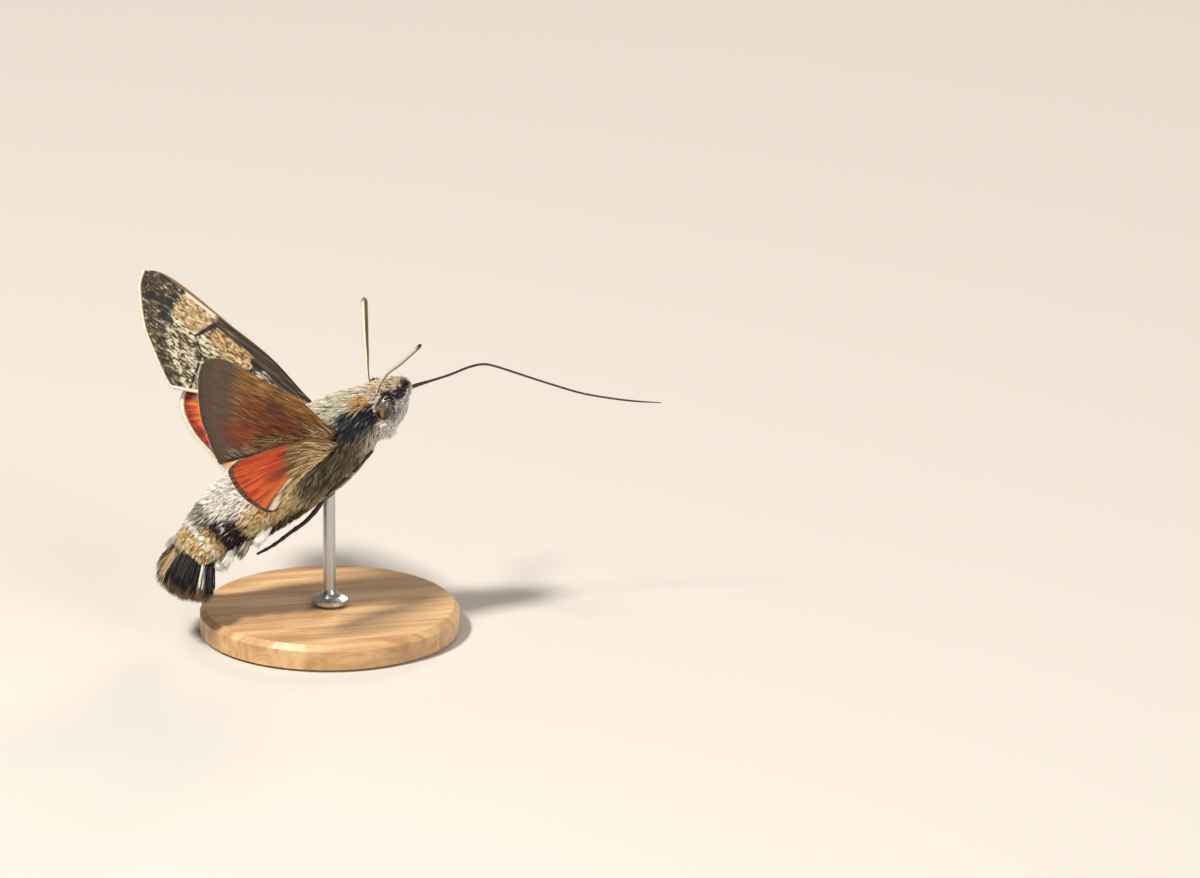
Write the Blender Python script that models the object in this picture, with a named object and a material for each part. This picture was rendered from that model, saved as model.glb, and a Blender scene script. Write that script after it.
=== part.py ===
"""Hummingbird hawk moth, life size, held in hovering flight on a small display stand.

The model is in metres with +Z up. The moth faces +X and its right side is towards -Y. The origin is
the middle of the stand's underside. Sizes and places below are millimetres until a mesh is made, and
those of the moth are counted from its own zero point, on the body's middle line at the waist.
"""

import math
import random

import bmesh
import bpy
from mathutils import Vector

MM = 0.001  # metres in a millimetre
GAP = 0.3  # left between pieces that touch
SEED = 20

# The stand: a round base, and one rod with a flared foot up to the chest
BASE_RADIUS = 11.5
BASE_HEIGHT = 2.4
BASE_EDGE = 0.5
ROD_RADIUS = 0.55
FOOT_RADIUS = 1.6
FOOT_HEIGHT = 1.2
# The foot's profile: radius over FOOT_RADIUS, and height over FOOT_HEIGHT
FOOT_PROFILE = ((1.0, 0.0), (1.0, 0.29), (0.62, 0.5), (0.43, 0.75))
TAIL_DROP = 11.6  # from the moth's zero point down to the lowest lock of the tail
TAIL_CLEARANCE = 1.2
MOTH_X = -3.5
MOTH_Z = BASE_HEIGHT + TAIL_CLEARANCE + TAIL_DROP

# The trunk from the neck to the root of the tail: x, z, pitch of the section, half width, half height
TRUNK = (
    (6.95, 4.68, 15.0, 2.65, 2.70),
    (5.90, 4.02, 26.0, 3.10, 3.15),
    (4.60, 3.22, 32.0, 3.50, 3.50),
    (2.70, 1.94, 34.0, 3.85, 3.93),
    (-0.30, -0.25, 36.0, 3.90, 3.85),
    (-3.25, -2.45, 36.0, 3.75, 3.45),
    (-5.15, -3.75, 37.0, 3.55, 3.10),
    (-6.60, -4.95, 41.0, 3.30, 2.75),
    (-8.35, -6.75, 48.0, 2.90, 2.20),
)
WAIST = 8.2  # along the trunk from the neck, where the thorax ends
TRUNK_SIDES = 24

# The head, from its flat back at the neck to the rounded face, as the trunk's rows
HEAD = (
    (7.26, 4.76, 13.0, 2.50, 2.62),
    (8.00, 5.00, 9.0, 2.55, 2.62),
    (8.70, 5.27, 4.0, 2.45, 2.55),
    (9.30, 5.52, -4.0, 2.32, 2.45),
    (9.82, 5.70, -13.0, 2.05, 2.22),
    (10.25, 5.80, -21.0, 1.55, 1.78),
    (10.52, 5.86, -25.0, 0.85, 1.10),
)
FACE = (10.68, 0.0, 5.92)
HEAD_SIDES = 22

EYE_PLACE = (8.18, 1.92, 5.75)
EYE_SIZE = (0.66, 0.85, 1.15)  # half lengths along X, Y and Z
EYE_LEAN = 8.0
PALP_PLACE = (9.72, 0.70, 4.98)
PALP_SIZE = (0.60, 0.52, 1.42)
PALP_LEAN = 24.0  # degrees that its top leans forward

# The tongue: its course in the middle plane, parted at the knee
TONGUE_BASE = ((10.3, 6.62), (11.3, 7.0), (12.6, 7.32), (14.35, 7.77), (16.2, 8.38), (17.35, 8.52))
TONGUE_TIP = (
    (17.68, 8.5),
    (18.7, 8.22),
    (21.0, 7.29),
    (23.8, 6.17),
    (26.4, 5.22),
    (29.1, 4.55),
    (31.4, 4.12),
    (33.5, 3.85),
)
TONGUE_ROOT_RADIUS = 0.36
TONGUE_RADIUS = 0.25
TONGUE_END_RADIUS = 0.14

# The feelers, each set its own way
FEELERS = {
    "right": (
        (7.55, -1.05, 6.5),
        (7.75, -1.75, 7.9),
        (8.21, -3.2, 9.4),
        (8.84, -5.2, 10.83),
        (10.2, -8.0, 13.37),
    ),
    "left": ((7.55, 1.05, 6.5), (7.4, 1.7, 7.9), (7.62, 3.1, 9.05), (7.85, 4.8, 10.35), (8.4, 8.0, 12.9)),
}
FEELER_RADIUS = 0.25
FEELER_CLUB = 0.40
FEELER_CLUB_AT = 0.72  # share of the feeler's length where it is thickest
FEELER_SWELL = 3  # a higher power keeps the stalk thin for longer
FEELER_FALL = 2.6  # a higher power keeps the club thick for longer
FEELER_POINT = 0.09
FEELER_FLATNESS = 0.78  # thickness over width at the club

# The wings. The fore wing is drawn on a plane: how far out from the hinge, and how far back.
FORE_HINGE = Vector((3.9, 2.8, 4.1))
FORE_TIP = Vector((-10.7, 14.0, 15.1))
FORE_CORNER = Vector((-8.3, 11.0, 4.85))
FORE_LEAD = ((0.0, 0.0), (2.2, -0.1), (7.0, -0.95), (11.8, -1.05), (16.9, -1.2), (19.6, -0.9), (21.2, 0.1))
FORE_MARGIN = ((21.2, 0.1), (20.9, 1.2), (20.2, 2.2), (18.4, 4.15), (16.1, 5.65), (14.3, 6.7), (13.0, 7.2))
FORE_TRAIL = ((0.9, 1.1), (2.9, 1.9), (5.4, 3.0), (9.3, 5.2), (11.4, 6.4), (13.0, 7.2))
FORE_CAMBER = 0.45
FORE_VEINS = (0.1, 0.24, 0.38, 0.5, 0.63, 0.78, 0.9)

# The hind wing starts under the fore wing: its lead runs on the fore wing's plane, lowered clear of it.
# The left one is swung further back. Both are listed as on the left side.
HIND_LEAD = ((1.0, 1.0), (3.0, 1.35), (5.2, 2.0), (9.1, 4.2), (11.0, 5.4), (12.4, 6.2))
HIND_DROP = 1.2
HIND_MARGIN = {
    "right": (
        (-7.83, 11.58, 4.23),
        (-7.47, 11.14, 3.05),
        (-6.47, 10.3, 1.41),
        (-4.96, 9.2, -0.15),
        (-3.65, 8.2, -1.07),
    ),
    "left": (
        (-7.65, 11.35, 3.6),
        (-7.6, 11.0, 2.2),
        (-6.8, 10.25, 0.5),
        (-5.5, 9.25, -1.0),
        (-4.65, 8.55, -2.1),
    ),
}
HIND_TRAIL = {
    "right": (
        (2.32, 3.47, 2.2),
        (1.1, 4.3, 1.75),
        (-0.41, 5.41, 0.9),
        (-1.75, 6.55, -0.35),
        (-2.68, 7.5, -1.18),
    ),
    "left": ((2.32, 3.47, 2.2), (1.1, 4.3, 1.75), (-0.41, 5.41, 0.9), (-2.3, 6.85, -1.1), (-4.0, 8.0, -2.75)),
}
HIND_CAMBER = 0.3
HIND_VEINS = (0.14, 0.32, 0.5, 0.66, 0.83)

MEMBRANE = 0.5  # thickness of the wing between its veins
MARGIN_THICKNESS = 0.42
VEIN_HEIGHT = 0.13
LEAD_RIDGE = 0.1  # how much the leading edge is thickened, as a vein is
VEIN_SPREAD = 0.022  # half width of a vein, as a share of the way across the wing
VEIN_END = 8  # a higher power keeps the veins up until nearer the margin
THIN_END = 6  # and this one the membrane's thickness
CAMBER_EARLY = 0.7  # a power below 1 brings the camber nearer to the root
WING_ROWS = 9

# The legs: points on the trunk as distance from the neck, angle from the side, and height over it
LEG_RADIUS = 0.27
LEG_END_RADIUS = 0.15
FORE_LEG = (
    (2.2, -74.0, -1.4),
    (1.3, -62.0, -0.35),
    (1.5, -52.0, -0.15),
    (2.8, -48.0, -0.1),
    (3.9, -50.0, -0.1),
)
MID_LEG = (
    (5.0, -74.0, -1.4),
    (4.6, -60.0, -0.3),
    (5.0, -48.0, -0.15),
    (6.2, -46.0, -0.05),
    (7.3, -48.0, -0.05),
)
HIND_HIP = ((7.3, -70.0, -1.4), (7.7, -65.0, -0.1))
HIND_TRAILING = ((1.25, 1.62, -4.15), (-0.3, 1.6, -5.25), (-1.85, 1.6, -6.32), (-3.35, 1.6, -7.05))

# The tail: tiers of locks that fan out from a short core
TAIL_PITCH = 66.0  # degrees below level that the fan points, backwards
TAIL_CORE = 1.6
TAIL_CORE_END = 0.7  # size of the core's end over that of its start
TAIL_LENGTH = 4.75
TAIL_SPREAD = 4.5
TAIL_ROOT_SPREAD = 2.25
TAIL_ROOT_START = 0.95
TAIL_ROUND = 0.85  # how soon the fan's section closes in towards its sides: 1 makes it a full round
TAIL_SHORT = 0.3  # share by which the outermost locks are shorter
TAIL_JITTER = 0.03
TAIL_TIERS = (
    # how far up the root, how far up the tip, locks, length over TAIL_LENGTH, spread over TAIL_SPREAD
    (1.2, 2.1, 9, 0.92, 1.0),
    (0.2, 0.25, 8, 1.0, 0.94),
    (-1.05, -1.2, 9, 0.9, 1.0),
)
LOCK_WIDTH = 1.7
LOCK_THICKNESS = 0.6
LOCK_BOW = 0.12
LOCK_ROLL = -0.5  # how far an outer lock's flat side rolls towards its own side
# A lock's sections: how far along, and width over LOCK_WIDTH
LOCK_SECTIONS = ((0.0, 0.62), (0.5, 1.0), (0.82, 0.8), (0.95, 0.42))
LOCK_THINNEST = 0.6

# The tufts along both flanks: distance from the neck, and how long
TUFTS = ((12.6, 2.3), (14.4, 2.5), (16.2, 2.5), (17.9, 2.3))
TUFT_ANGLE = -36.0
TUFT_LOCKS = 3
TUFT_STEP = 13.0  # degrees between a tuft's locks
TUFT_ROOT = 0.4  # how far before its place a tuft starts
TUFT_SUNK = 0.9
TUFT_RISE = 0.75
TUFT_WIDTH = 0.95
TUFT_BOW = -0.25
# One more stands out over the left side of the abdomen's end: from a point on the trunk, as a leg's, to a tip
LEFT_TUFT_START = (17.1, 29.0, -0.55)
LEFT_TUFT_TIP = Vector((-10.45, 3.25, -7.48))
LEFT_TUFT_SPREAD = 0.3  # between the tips of its locks

random.seed(SEED)


def clear_scene():
    """Empty the scene, whatever it holds."""
    for old in list(bpy.data.objects):
        bpy.data.objects.remove(old)


def material(name, colour, roughness, metallic=0.0):
    """A plain finish for one node."""
    made = bpy.data.materials.new(name)
    made.use_nodes = True
    shader = made.node_tree.nodes["Principled BSDF"]
    shader.inputs["Base Color"].default_value = (*colour, 1.0)
    shader.inputs["Roughness"].default_value = roughness
    shader.inputs["Metallic"].default_value = metallic
    return made


def mesh_object(name, points, faces, parent=None):
    """A closed mesh with its faces turned outwards, made in metres from points in millimetres."""
    mesh = bpy.data.meshes.new(name)
    mesh.from_pydata([Vector(point) * MM for point in points], [], faces)
    shape = bmesh.new()
    shape.from_mesh(mesh)
    bmesh.ops.recalc_face_normals(shape, faces=shape.faces)
    shape.to_mesh(mesh)
    shape.free()
    made = bpy.data.objects.new(name, mesh)
    bpy.context.scene.collection.objects.link(made)
    made.parent = parent
    return made


def dress(made, finish, smooth_angle=50.0):
    """Give a finished node its material and its shading."""
    made.data.materials.clear()
    made.data.materials.append(finish)
    made.data.shade_smooth()
    made.data.set_sharp_from_angle(angle=math.radians(smooth_angle))
    return made


def spline(rows, steps):
    """A smooth run through rows of numbers, with this many steps from each row to the next."""
    rows = [Vector(row) for row in rows]
    rows = [2 * rows[0] - rows[1]] + rows + [2 * rows[-1] - rows[-2]]
    found = []
    for a, b, c, d in zip(rows, rows[1:], rows[2:], rows[3:]):
        bend = a - 2.5 * b + 2 * c - d / 2
        twist = 1.5 * (b - c) + (d - a) / 2
        for step in range(steps):
            t = step / steps
            found.append(b + (c - a) * (t / 2) + bend * t**2 + twist * t**3)
    return found + [rows[-2]]


class Course:
    """A smooth course through rows of numbers. The first `places` numbers of a row are its place."""

    def __init__(self, rows, places=3, steps=10):
        self.rows = spline(rows, steps)
        self.reach = [0.0]
        for a, b in zip(self.rows, self.rows[1:]):
            self.reach.append(self.reach[-1] + Vector((b - a)[:places]).length)
        self.length = self.reach[-1]

    def at(self, distance):
        """The row this far along, held to the course's ends."""
        distance = min(max(distance, 0.0), self.length)
        index = 0
        while index < len(self.reach) - 2 and self.reach[index + 1] < distance:
            index += 1
        span = self.reach[index + 1] - self.reach[index]
        return self.rows[index].lerp(self.rows[index + 1], (distance - self.reach[index]) / span)

    def share(self, t):
        """The row at this share of the course's length."""
        return self.at(t * self.length)


def loft(name, rings, parent=None, start=None, end=None):
    """A skin over rings of points. Each end closes on a point: the one given, or the ring's middle."""
    sides = len(rings[0])
    points = [point for ring in rings for point in ring]
    faces = []
    for row in range(len(rings) - 1):
        for i in range(sides):
            a = row * sides + i
            b = row * sides + (i + 1) % sides
            faces += [(a, b, b + sides), (a, b + sides, a + sides)]
    for apex, ring, first in ((start, rings[0], 0), (end, rings[-1], len(points) - sides)):
        points.append(Vector(apex) if apex else sum((Vector(p) for p in ring), Vector((0, 0, 0))) / sides)
        faces += [(first + i, first + (i + 1) % sides, len(points) - 1) for i in range(sides)]
    return mesh_object(name, points, faces, parent)


def section_point(row, angle, grow=0.0, side=1):
    """A point of a section of trunk or head, at an angle counted from the moth's left side upwards."""
    x, z, pitch, half_width, half_height = row
    pitch = math.radians(pitch)
    angle = math.radians(angle)
    up = (half_height + grow) * math.sin(angle)
    across = side * (half_width + grow) * math.cos(angle)
    return Vector((x - up * math.sin(pitch), across, z + up * math.cos(pitch)))


def section(row, sides, grow=0.0):
    """A whole section as a ring of points."""
    return [section_point(row, 360.0 * i / sides, grow) for i in range(sides)]


def tube(name, points, radii, sides, parent=None, flat=1.0, steps=1):
    """A round or flattened tube along a smooth course, its radii spread along it as its points are."""
    course = spline([(*point, radius) for point, radius in zip(points, radii)], steps)
    places = [row.xyz for row in course]
    across = Vector((0, 1, 0))
    rings = []
    for i, row in enumerate(course):
        forward = (places[min(i + 1, len(places) - 1)] - places[max(i - 1, 0)]).normalized()
        across = (across - forward * across.dot(forward)).normalized()
        up = forward.cross(across)
        ring = []
        for k in range(sides):
            turn = 2 * math.pi * k / sides
            ring.append(row.xyz + (across * math.cos(turn) + up * math.sin(turn) * flat) * row[3])
        rings.append(ring)
    return loft(name, rings, parent)


def ellipsoid(name, place, size, lean, parent, grow=0.0, sides=16, rows=10):
    """An egg shape, its top leaned forward by `lean` degrees."""
    lean = math.radians(lean)
    forward = Vector((math.cos(lean), 0, -math.sin(lean)))
    up = Vector((math.sin(lean), 0, math.cos(lean)))
    half_x, half_y, half_z = (half + grow for half in size)
    rings = []
    for row in range(1, rows):
        polar = math.pi * row / rows
        level = Vector(place) - up * half_z * math.cos(polar)
        ring = []
        for i in range(sides):
            turn = 2 * math.pi * i / sides
            x = half_x * math.cos(turn) * math.sin(polar)
            y = half_y * math.sin(turn) * math.sin(polar)
            ring.append(level + forward * x + Vector((0, y, 0)))
        rings.append(ring)
    return loft(name, rings, parent, Vector(place) - up * half_z, Vector(place) + up * half_z)


def settle(made):
    """Turn the object's modifiers into its mesh."""
    graph = bpy.context.evaluated_depsgraph_get()
    shaped = bpy.data.meshes.new_from_object(made.evaluated_get(graph))
    made.modifiers.clear()
    made.data = shaped


def keep_largest(made):
    """Keep only the largest closed surface of the mesh, in triangles."""
    shape = bmesh.new()
    shape.from_mesh(made.data)
    left = set(shape.faces)
    shells = []
    while left:
        seed = left.pop()
        shell = {seed}
        rim = [seed]
        while rim:
            face = rim.pop()
            near = {other for edge in face.edges for other in edge.link_faces} & left
            left -= near
            shell |= near
            rim.extend(near)
        shells.append(shell)
    largest = max(shells, key=lambda faces: sum(face.calc_area() for face in faces))
    scraps = [face for face in shape.faces if face not in largest]
    bmesh.ops.delete(shape, geom=scraps, context="FACES")
    bmesh.ops.triangulate(shape, faces=shape.faces)
    shape.to_mesh(made.data)
    shape.free()


def combine(made, pieces, operation):
    """Join the pieces to the object, or cut them from it, by one Boolean, and remove them."""
    group = bpy.data.collections.new(made.name + "_pieces")
    bpy.context.scene.collection.children.link(group)
    for piece in pieces:
        bpy.context.scene.collection.objects.unlink(piece)
        group.objects.link(piece)
    joint = made.modifiers.new(operation.lower(), "BOOLEAN")
    joint.operation = operation
    joint.operand_type = "COLLECTION"
    joint.collection = group
    joint.solver = "EXACT"
    settle(made)
    for piece in pieces:
        bpy.data.objects.remove(piece)
    bpy.data.collections.remove(group)
    keep_largest(made)


def cut_by(made, cutter, solver="EXACT"):
    """Cut one shape from the object and leave the cutter whole, for the next piece."""
    joint = made.modifiers.new("cut", "BOOLEAN")
    joint.operation = "DIFFERENCE"
    joint.object = cutter
    joint.solver = solver
    settle(made)
    keep_largest(made)


def guide(made):
    """Mark a shape that only cuts others."""
    made.hide_render = True
    made.display_type = "WIRE"
    return made


def trunk_point(distance, angle, height, side):
    """A point over the trunk, on the moth's left (1) or right (-1)."""
    return section_point(TRUNK_COURSE.at(distance), angle, height, side)


def trunk_length(name, first, last, parent, grow=0.0, rows=12):
    """The trunk between two distances from the neck."""
    step = (last - first) / rows
    rings = [section(TRUNK_COURSE.at(first + step * i), TRUNK_SIDES, grow) for i in range(rows + 1)]
    return loft(name, rings, parent)


def head_shape(name, parent, grow=0.0):
    """The head, or the same shape grown to cut what meets it."""
    rings = [section(row, HEAD_SIDES, grow) for row in spline(HEAD, 2)]
    return loft(name, rings, parent, end=Vector(FACE) + Vector((grow, 0, 0)))


def eye(name, side, parent, grow=0.0):
    """One eye, or its socket."""
    x, y, z = EYE_PLACE
    return ellipsoid(name, (x, side * y, z), EYE_SIZE, EYE_LEAN, parent, grow)


def palp(name, side, parent, grow=0.0):
    """One of the two soft lobes of the lower face, or its bed."""
    x, y, z = PALP_PLACE
    return ellipsoid(name, (x, side * y, z), PALP_SIZE, PALP_LEAN, parent, grow, 12, 8)


def leg_points(kind, side):
    """The middle line of one leg."""
    if kind == "hind":
        hip = [trunk_point(*row, side) for row in HIND_HIP]
        return hip + [Vector((x, side * y, z)) for x, y, z in HIND_TRAILING]
    rows = FORE_LEG if kind == "fore" else MID_LEG
    return [trunk_point(*row, side) for row in rows]


def leg(name, kind, side, parent, grow=0.0):
    """One leg, or the bed that it lies in."""
    points = leg_points(kind, side)
    last = len(points) - 1
    radii = [LEG_RADIUS + (LEG_END_RADIUS - LEG_RADIUS) * (i / last) ** 2 + grow for i in range(last + 1)]
    if grow:
        points[-1] = points[-1] + (points[-1] - points[-2]).normalized() * grow
    return tube(name, points, radii, 6, parent, steps=2)


def feeler(name, side, parent):
    """One feeler: a thin stalk that swells to a flattened club and ends in a point."""
    course = Course(FEELERS[side])
    points = []
    radii = []
    count = 10
    for i in range(count + 1):
        share = i / count
        points.append(course.share(share))
        swell = math.sin(math.pi / 2 * min(share / FEELER_CLUB_AT, 1.0)) ** FEELER_SWELL
        radius = FEELER_RADIUS + (FEELER_CLUB - FEELER_RADIUS) * swell
        fall = max(0.0, (share - FEELER_CLUB_AT) / (1 - FEELER_CLUB_AT)) ** FEELER_FALL
        radii.append(radius + (FEELER_POINT - radius) * fall)
    return tube(name, points, radii, 8, parent, FEELER_FLATNESS)


def tongue(name, course, radii, parent):
    """One length of the tongue, in the middle plane."""
    return tube(name, [Vector((x, 0, z)) for x, z in course], radii, 8, parent, steps=2)


class Patch:
    """A smooth surface between four edge courses: lead and trail run outwards, root and margin across."""

    def __init__(self, lead, trail, root, margin):
        self.lead = Course(lead)
        self.trail = Course(trail)
        self.root = Course(root)
        self.margin = Course(margin)

    def place(self, out, across):
        """The point this share of the way out, and across from the lead to the trail."""
        lead = self.lead.share(out)
        trail = self.trail.share(out)
        root = self.root.share(across)
        margin = self.margin.share(across)
        corners = (self.lead.share(0) * (1 - across) + self.trail.share(0) * across) * (1 - out)
        corners += (self.lead.share(1) * (1 - across) + self.trail.share(1) * across) * out
        return lead * (1 - across) + trail * across + root * (1 - out) + margin * out - corners


def wing(name, patch, veins, camber, rise, side, parent):
    """A wing: two faces of one grid, with each vein a ridge of the grid raised on both of them."""
    columns = [(0.0, LEAD_RIDGE)]
    for vein in veins:
        columns += [(vein - VEIN_SPREAD, 0.0), (vein, VEIN_HEIGHT), (vein + VEIN_SPREAD, 0.0)]
    columns.append((1.0, 0.0))
    outs = [math.sin(math.pi / 2 * row / WING_ROWS) for row in range(WING_ROWS + 1)]

    def middle(out, across):
        crown = camber * math.sin(math.pi * across) * math.sin(math.pi * out**CAMBER_EARLY)
        return patch.place(out, across) + rise * crown

    faces_up = []
    faces_down = []
    for out in outs:
        for across, ridge in columns:
            step = 0.01
            here = middle(out, across)
            along = middle(min(out + step, 1), across) - middle(max(out - step, 0), across)
            over = middle(out, min(across + step, 1)) - middle(out, max(across - step, 0))
            normal = along.cross(over).normalized()
            thickness = MEMBRANE + (MARGIN_THICKNESS - MEMBRANE) * out**THIN_END
            lift = normal * (thickness / 2 + ridge * (1 - out**VEIN_END))
            faces_up.append(here + lift)
            faces_down.append(here - lift)
    points = [Vector((p.x, side * p.y, p.z)) for p in faces_up + faces_down]
    wide = len(columns)
    under = len(faces_up)
    faces = []
    for row in range(len(outs) - 1):
        for i in range(wide - 1):
            a = row * wide + i
            b = a + 1
            c = b + wide
            d = a + wide
            faces += [(a, b, c), (a, c, d)]
            faces += [(under + a, under + c, under + b), (under + a, under + d, under + c)]
    rim = list(range(wide))
    rim += [row * wide + wide - 1 for row in range(1, len(outs))]
    rim += [(len(outs) - 1) * wide + i for i in range(wide - 2, -1, -1)]
    rim += [row * wide for row in range(len(outs) - 2, 0, -1)]
    for a, b in zip(rim, rim[1:] + rim[:1]):
        faces += [(a, under + a, under + b), (a, under + b, b)]
    return mesh_object(name, points, faces, parent)


def fore_plane():
    """The fore wing's plane: its outward and backward directions and the normal on its under side."""
    out = (FORE_TIP - FORE_HINGE).normalized()
    back = FORE_CORNER - FORE_HINGE
    back = (back - out * back.dot(out)).normalized()
    return out, back, back.cross(out).normalized()


def on_fore_plane(rows, drop=0.0):
    """Points on the fore wing's plane from how far out and how far back, lowered by `drop`."""
    out, back, below = fore_plane()
    return [FORE_HINGE + out * a + back * b + below * drop for a, b in rows]


def fore_patch():
    """A fore wing's surface, as on the left side."""
    lead = on_fore_plane(FORE_LEAD)
    trail = on_fore_plane(FORE_TRAIL)
    return Patch(lead, trail, (lead[0], trail[0]), on_fore_plane(FORE_MARGIN))


def hind_patch(word):
    """The named side's hind wing as on the left side, its lead under the fore wing's trail."""
    lead = on_fore_plane(HIND_LEAD, HIND_DROP)
    trail = HIND_TRAIL[word]
    return Patch(lead, trail, (lead[0], trail[0]), (lead[-1], *HIND_MARGIN[word], trail[-1]))


def lock(name, root, tip, across, width, bow, parent):
    """A flat lock of hair: four sides, widest past its root, bowed, and tapered to a point."""
    forward = (tip - root).normalized()
    across = (across - forward * across.dot(forward)).normalized()
    up = forward.cross(across)
    rings = []
    for share, size in LOCK_SECTIONS:
        middle = root.lerp(tip, share) + up * bow * 4 * share * (1 - share)
        wide = across * (width / 2 * size)
        thick = up * (LOCK_THICKNESS / 2 * max(size, LOCK_THINNEST))
        rings.append([middle + wide, middle + thick, middle - wide, middle - thick])
    return loft(name, rings, parent, end=tip)


def tail_frame():
    """The tail's root, its direction backwards and its upper side."""
    row = TRUNK_COURSE.at(TRUNK_COURSE.length)
    pitch = math.radians(TAIL_PITCH)
    back = Vector((-math.cos(pitch), 0, -math.sin(pitch)))
    return Vector((row[0], 0, row[1])), back, Vector((-math.sin(pitch), 0, math.cos(pitch)))


def tail_core(name, parent):
    """The short core of the tail, which starts as the trunk ends and narrows inside the locks."""
    root, back, _ = tail_frame()
    last = TRUNK_COURSE.at(TRUNK_COURSE.length)
    first = last.copy()
    pitch = math.radians(last[2])
    first[0] -= GAP * math.cos(pitch)
    first[1] -= GAP * math.sin(pitch)
    rings = [section(first, TRUNK_SIDES)]
    for share in (0.5, 1.0):
        place = root + back * (TAIL_CORE * share + GAP)
        size = 1 + (TAIL_CORE_END - 1) * share
        pitch = last[2] + (TAIL_PITCH - last[2]) * share
        rings.append(section((place.x, place.z, pitch, last[3] * size, last[4] * size), TRUNK_SIDES))
    return loft(name, rings, parent)


def tail_locks(parent):
    """The tail's locks, tier by tier, the middle ones longest."""
    root, back, up = tail_frame()
    side = Vector((0, 1, 0))
    locks = []
    for root_up, tip_up, count, length, spread in TAIL_TIERS:
        for i in range(count):
            q = (2 * i / (count - 1) - 1) * spread + random.uniform(-TAIL_JITTER, TAIL_JITTER)
            inset = math.sqrt(1 - (TAIL_ROUND * q) ** 2)
            start = root + back * TAIL_ROOT_START + side * TAIL_ROOT_SPREAD * q + up * root_up * inset
            reach = TAIL_LENGTH * length * (1 - TAIL_SHORT * q * q) * random.uniform(0.96, 1.02)
            end = root + back * reach + side * TAIL_SPREAD * q + up * tip_up * (1 + inset) / 2
            width = LOCK_WIDTH * random.uniform(0.92, 1.08)
            locks.append(lock("tail_lock", start, end, side + up * LOCK_ROLL * q, width, LOCK_BOW, parent))
    return locks


def tuft_lock(start, tip, over, parent):
    """One lock of a tuft, its flat side turned to `over`."""
    return lock("tuft_lock", start, tip, (tip - start).cross(over), TUFT_WIDTH, TUFT_BOW, parent)


def tuft_locks(parent):
    """The tufts on the abdomen, each a few locks that lean back and stand a little off."""
    locks = []
    for side in (-1, 1):
        for distance, length in TUFTS:
            for i in range(TUFT_LOCKS):
                turn = TUFT_ANGLE + TUFT_STEP * (i - 1) * random.uniform(0.9, 1.1)
                start = trunk_point(distance - TUFT_ROOT, turn, -TUFT_SUNK, side)
                tip = trunk_point(distance + length, turn, TUFT_RISE * random.uniform(0.8, 1.15), side)
                middle = section_point(TRUNK_COURSE.at(distance), 90.0)
                over = start - Vector((middle.x, 0, middle.z))
                locks.append(tuft_lock(start, tip, over, parent))
    distance, angle, height = LEFT_TUFT_START
    for i in range(TUFT_LOCKS):
        turn = angle + TUFT_STEP * (i - 1)
        start = trunk_point(distance, turn, height, 1)
        over = Vector((0, math.cos(math.radians(turn)), math.sin(math.radians(turn))))
        aside = over.cross(tail_frame()[1]) * LEFT_TUFT_SPREAD * (i - 1)
        locks.append(tuft_lock(start, LEFT_TUFT_TIP + aside, over, parent))
    return locks


def turned(name, profile, sides, parent=None):
    """A round piece from a profile of radius and height, bottom to top."""
    rings = []
    for radius, height in profile:
        turns = [2 * math.pi * i / sides for i in range(sides)]
        rings.append([Vector((radius * math.cos(t), radius * math.sin(t), height)) for t in turns])
    return loft(name, rings, parent)


def build_stand(trunk_cutter, finish):
    """The base and its rod, which ends just under the chest."""
    top = BASE_HEIGHT
    edge = BASE_RADIUS - BASE_EDGE
    profile = [(edge, 0.0), (BASE_RADIUS, BASE_EDGE / 2), (BASE_RADIUS, top - BASE_EDGE), (edge, top)]
    dress(turned("stand_base", profile, 48), finish["stand_base"], 30.0)
    foot = top + GAP
    profile = [(FOOT_RADIUS * radius, foot + FOOT_HEIGHT * height) for radius, height in FOOT_PROFILE]
    profile += [(ROD_RADIUS, foot + FOOT_HEIGHT), (ROD_RADIUS, MOTH_Z + TRUNK[3][1])]
    rod = turned("stand_rod", profile, 20)
    cut_by(rod, trunk_cutter)
    dress(rod, finish["stand_rod"], 30.0)


def build_trunk(moth, finish):
    """Thorax with its leg beds, and abdomen with its flank tufts."""
    thorax = trunk_length("thorax", 0.0, WAIST - GAP / 2, moth, rows=10)
    beds = [leg("leg_bed", kind, side, moth, GAP) for kind in ("fore", "mid", "hind") for side in (-1, 1)]
    combine(thorax, beds, "DIFFERENCE")
    dress(thorax, finish["thorax"])
    abdomen = trunk_length("abdomen", WAIST + GAP / 2, TRUNK_COURSE.length, moth)
    combine(abdomen, tuft_locks(moth), "UNION")
    dress(abdomen, finish["abdomen"])
    tail = tail_core("tail_fan", moth)
    combine(tail, tail_locks(moth), "UNION")
    dress(tail, finish["tail_fan"], 40.0)


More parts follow.
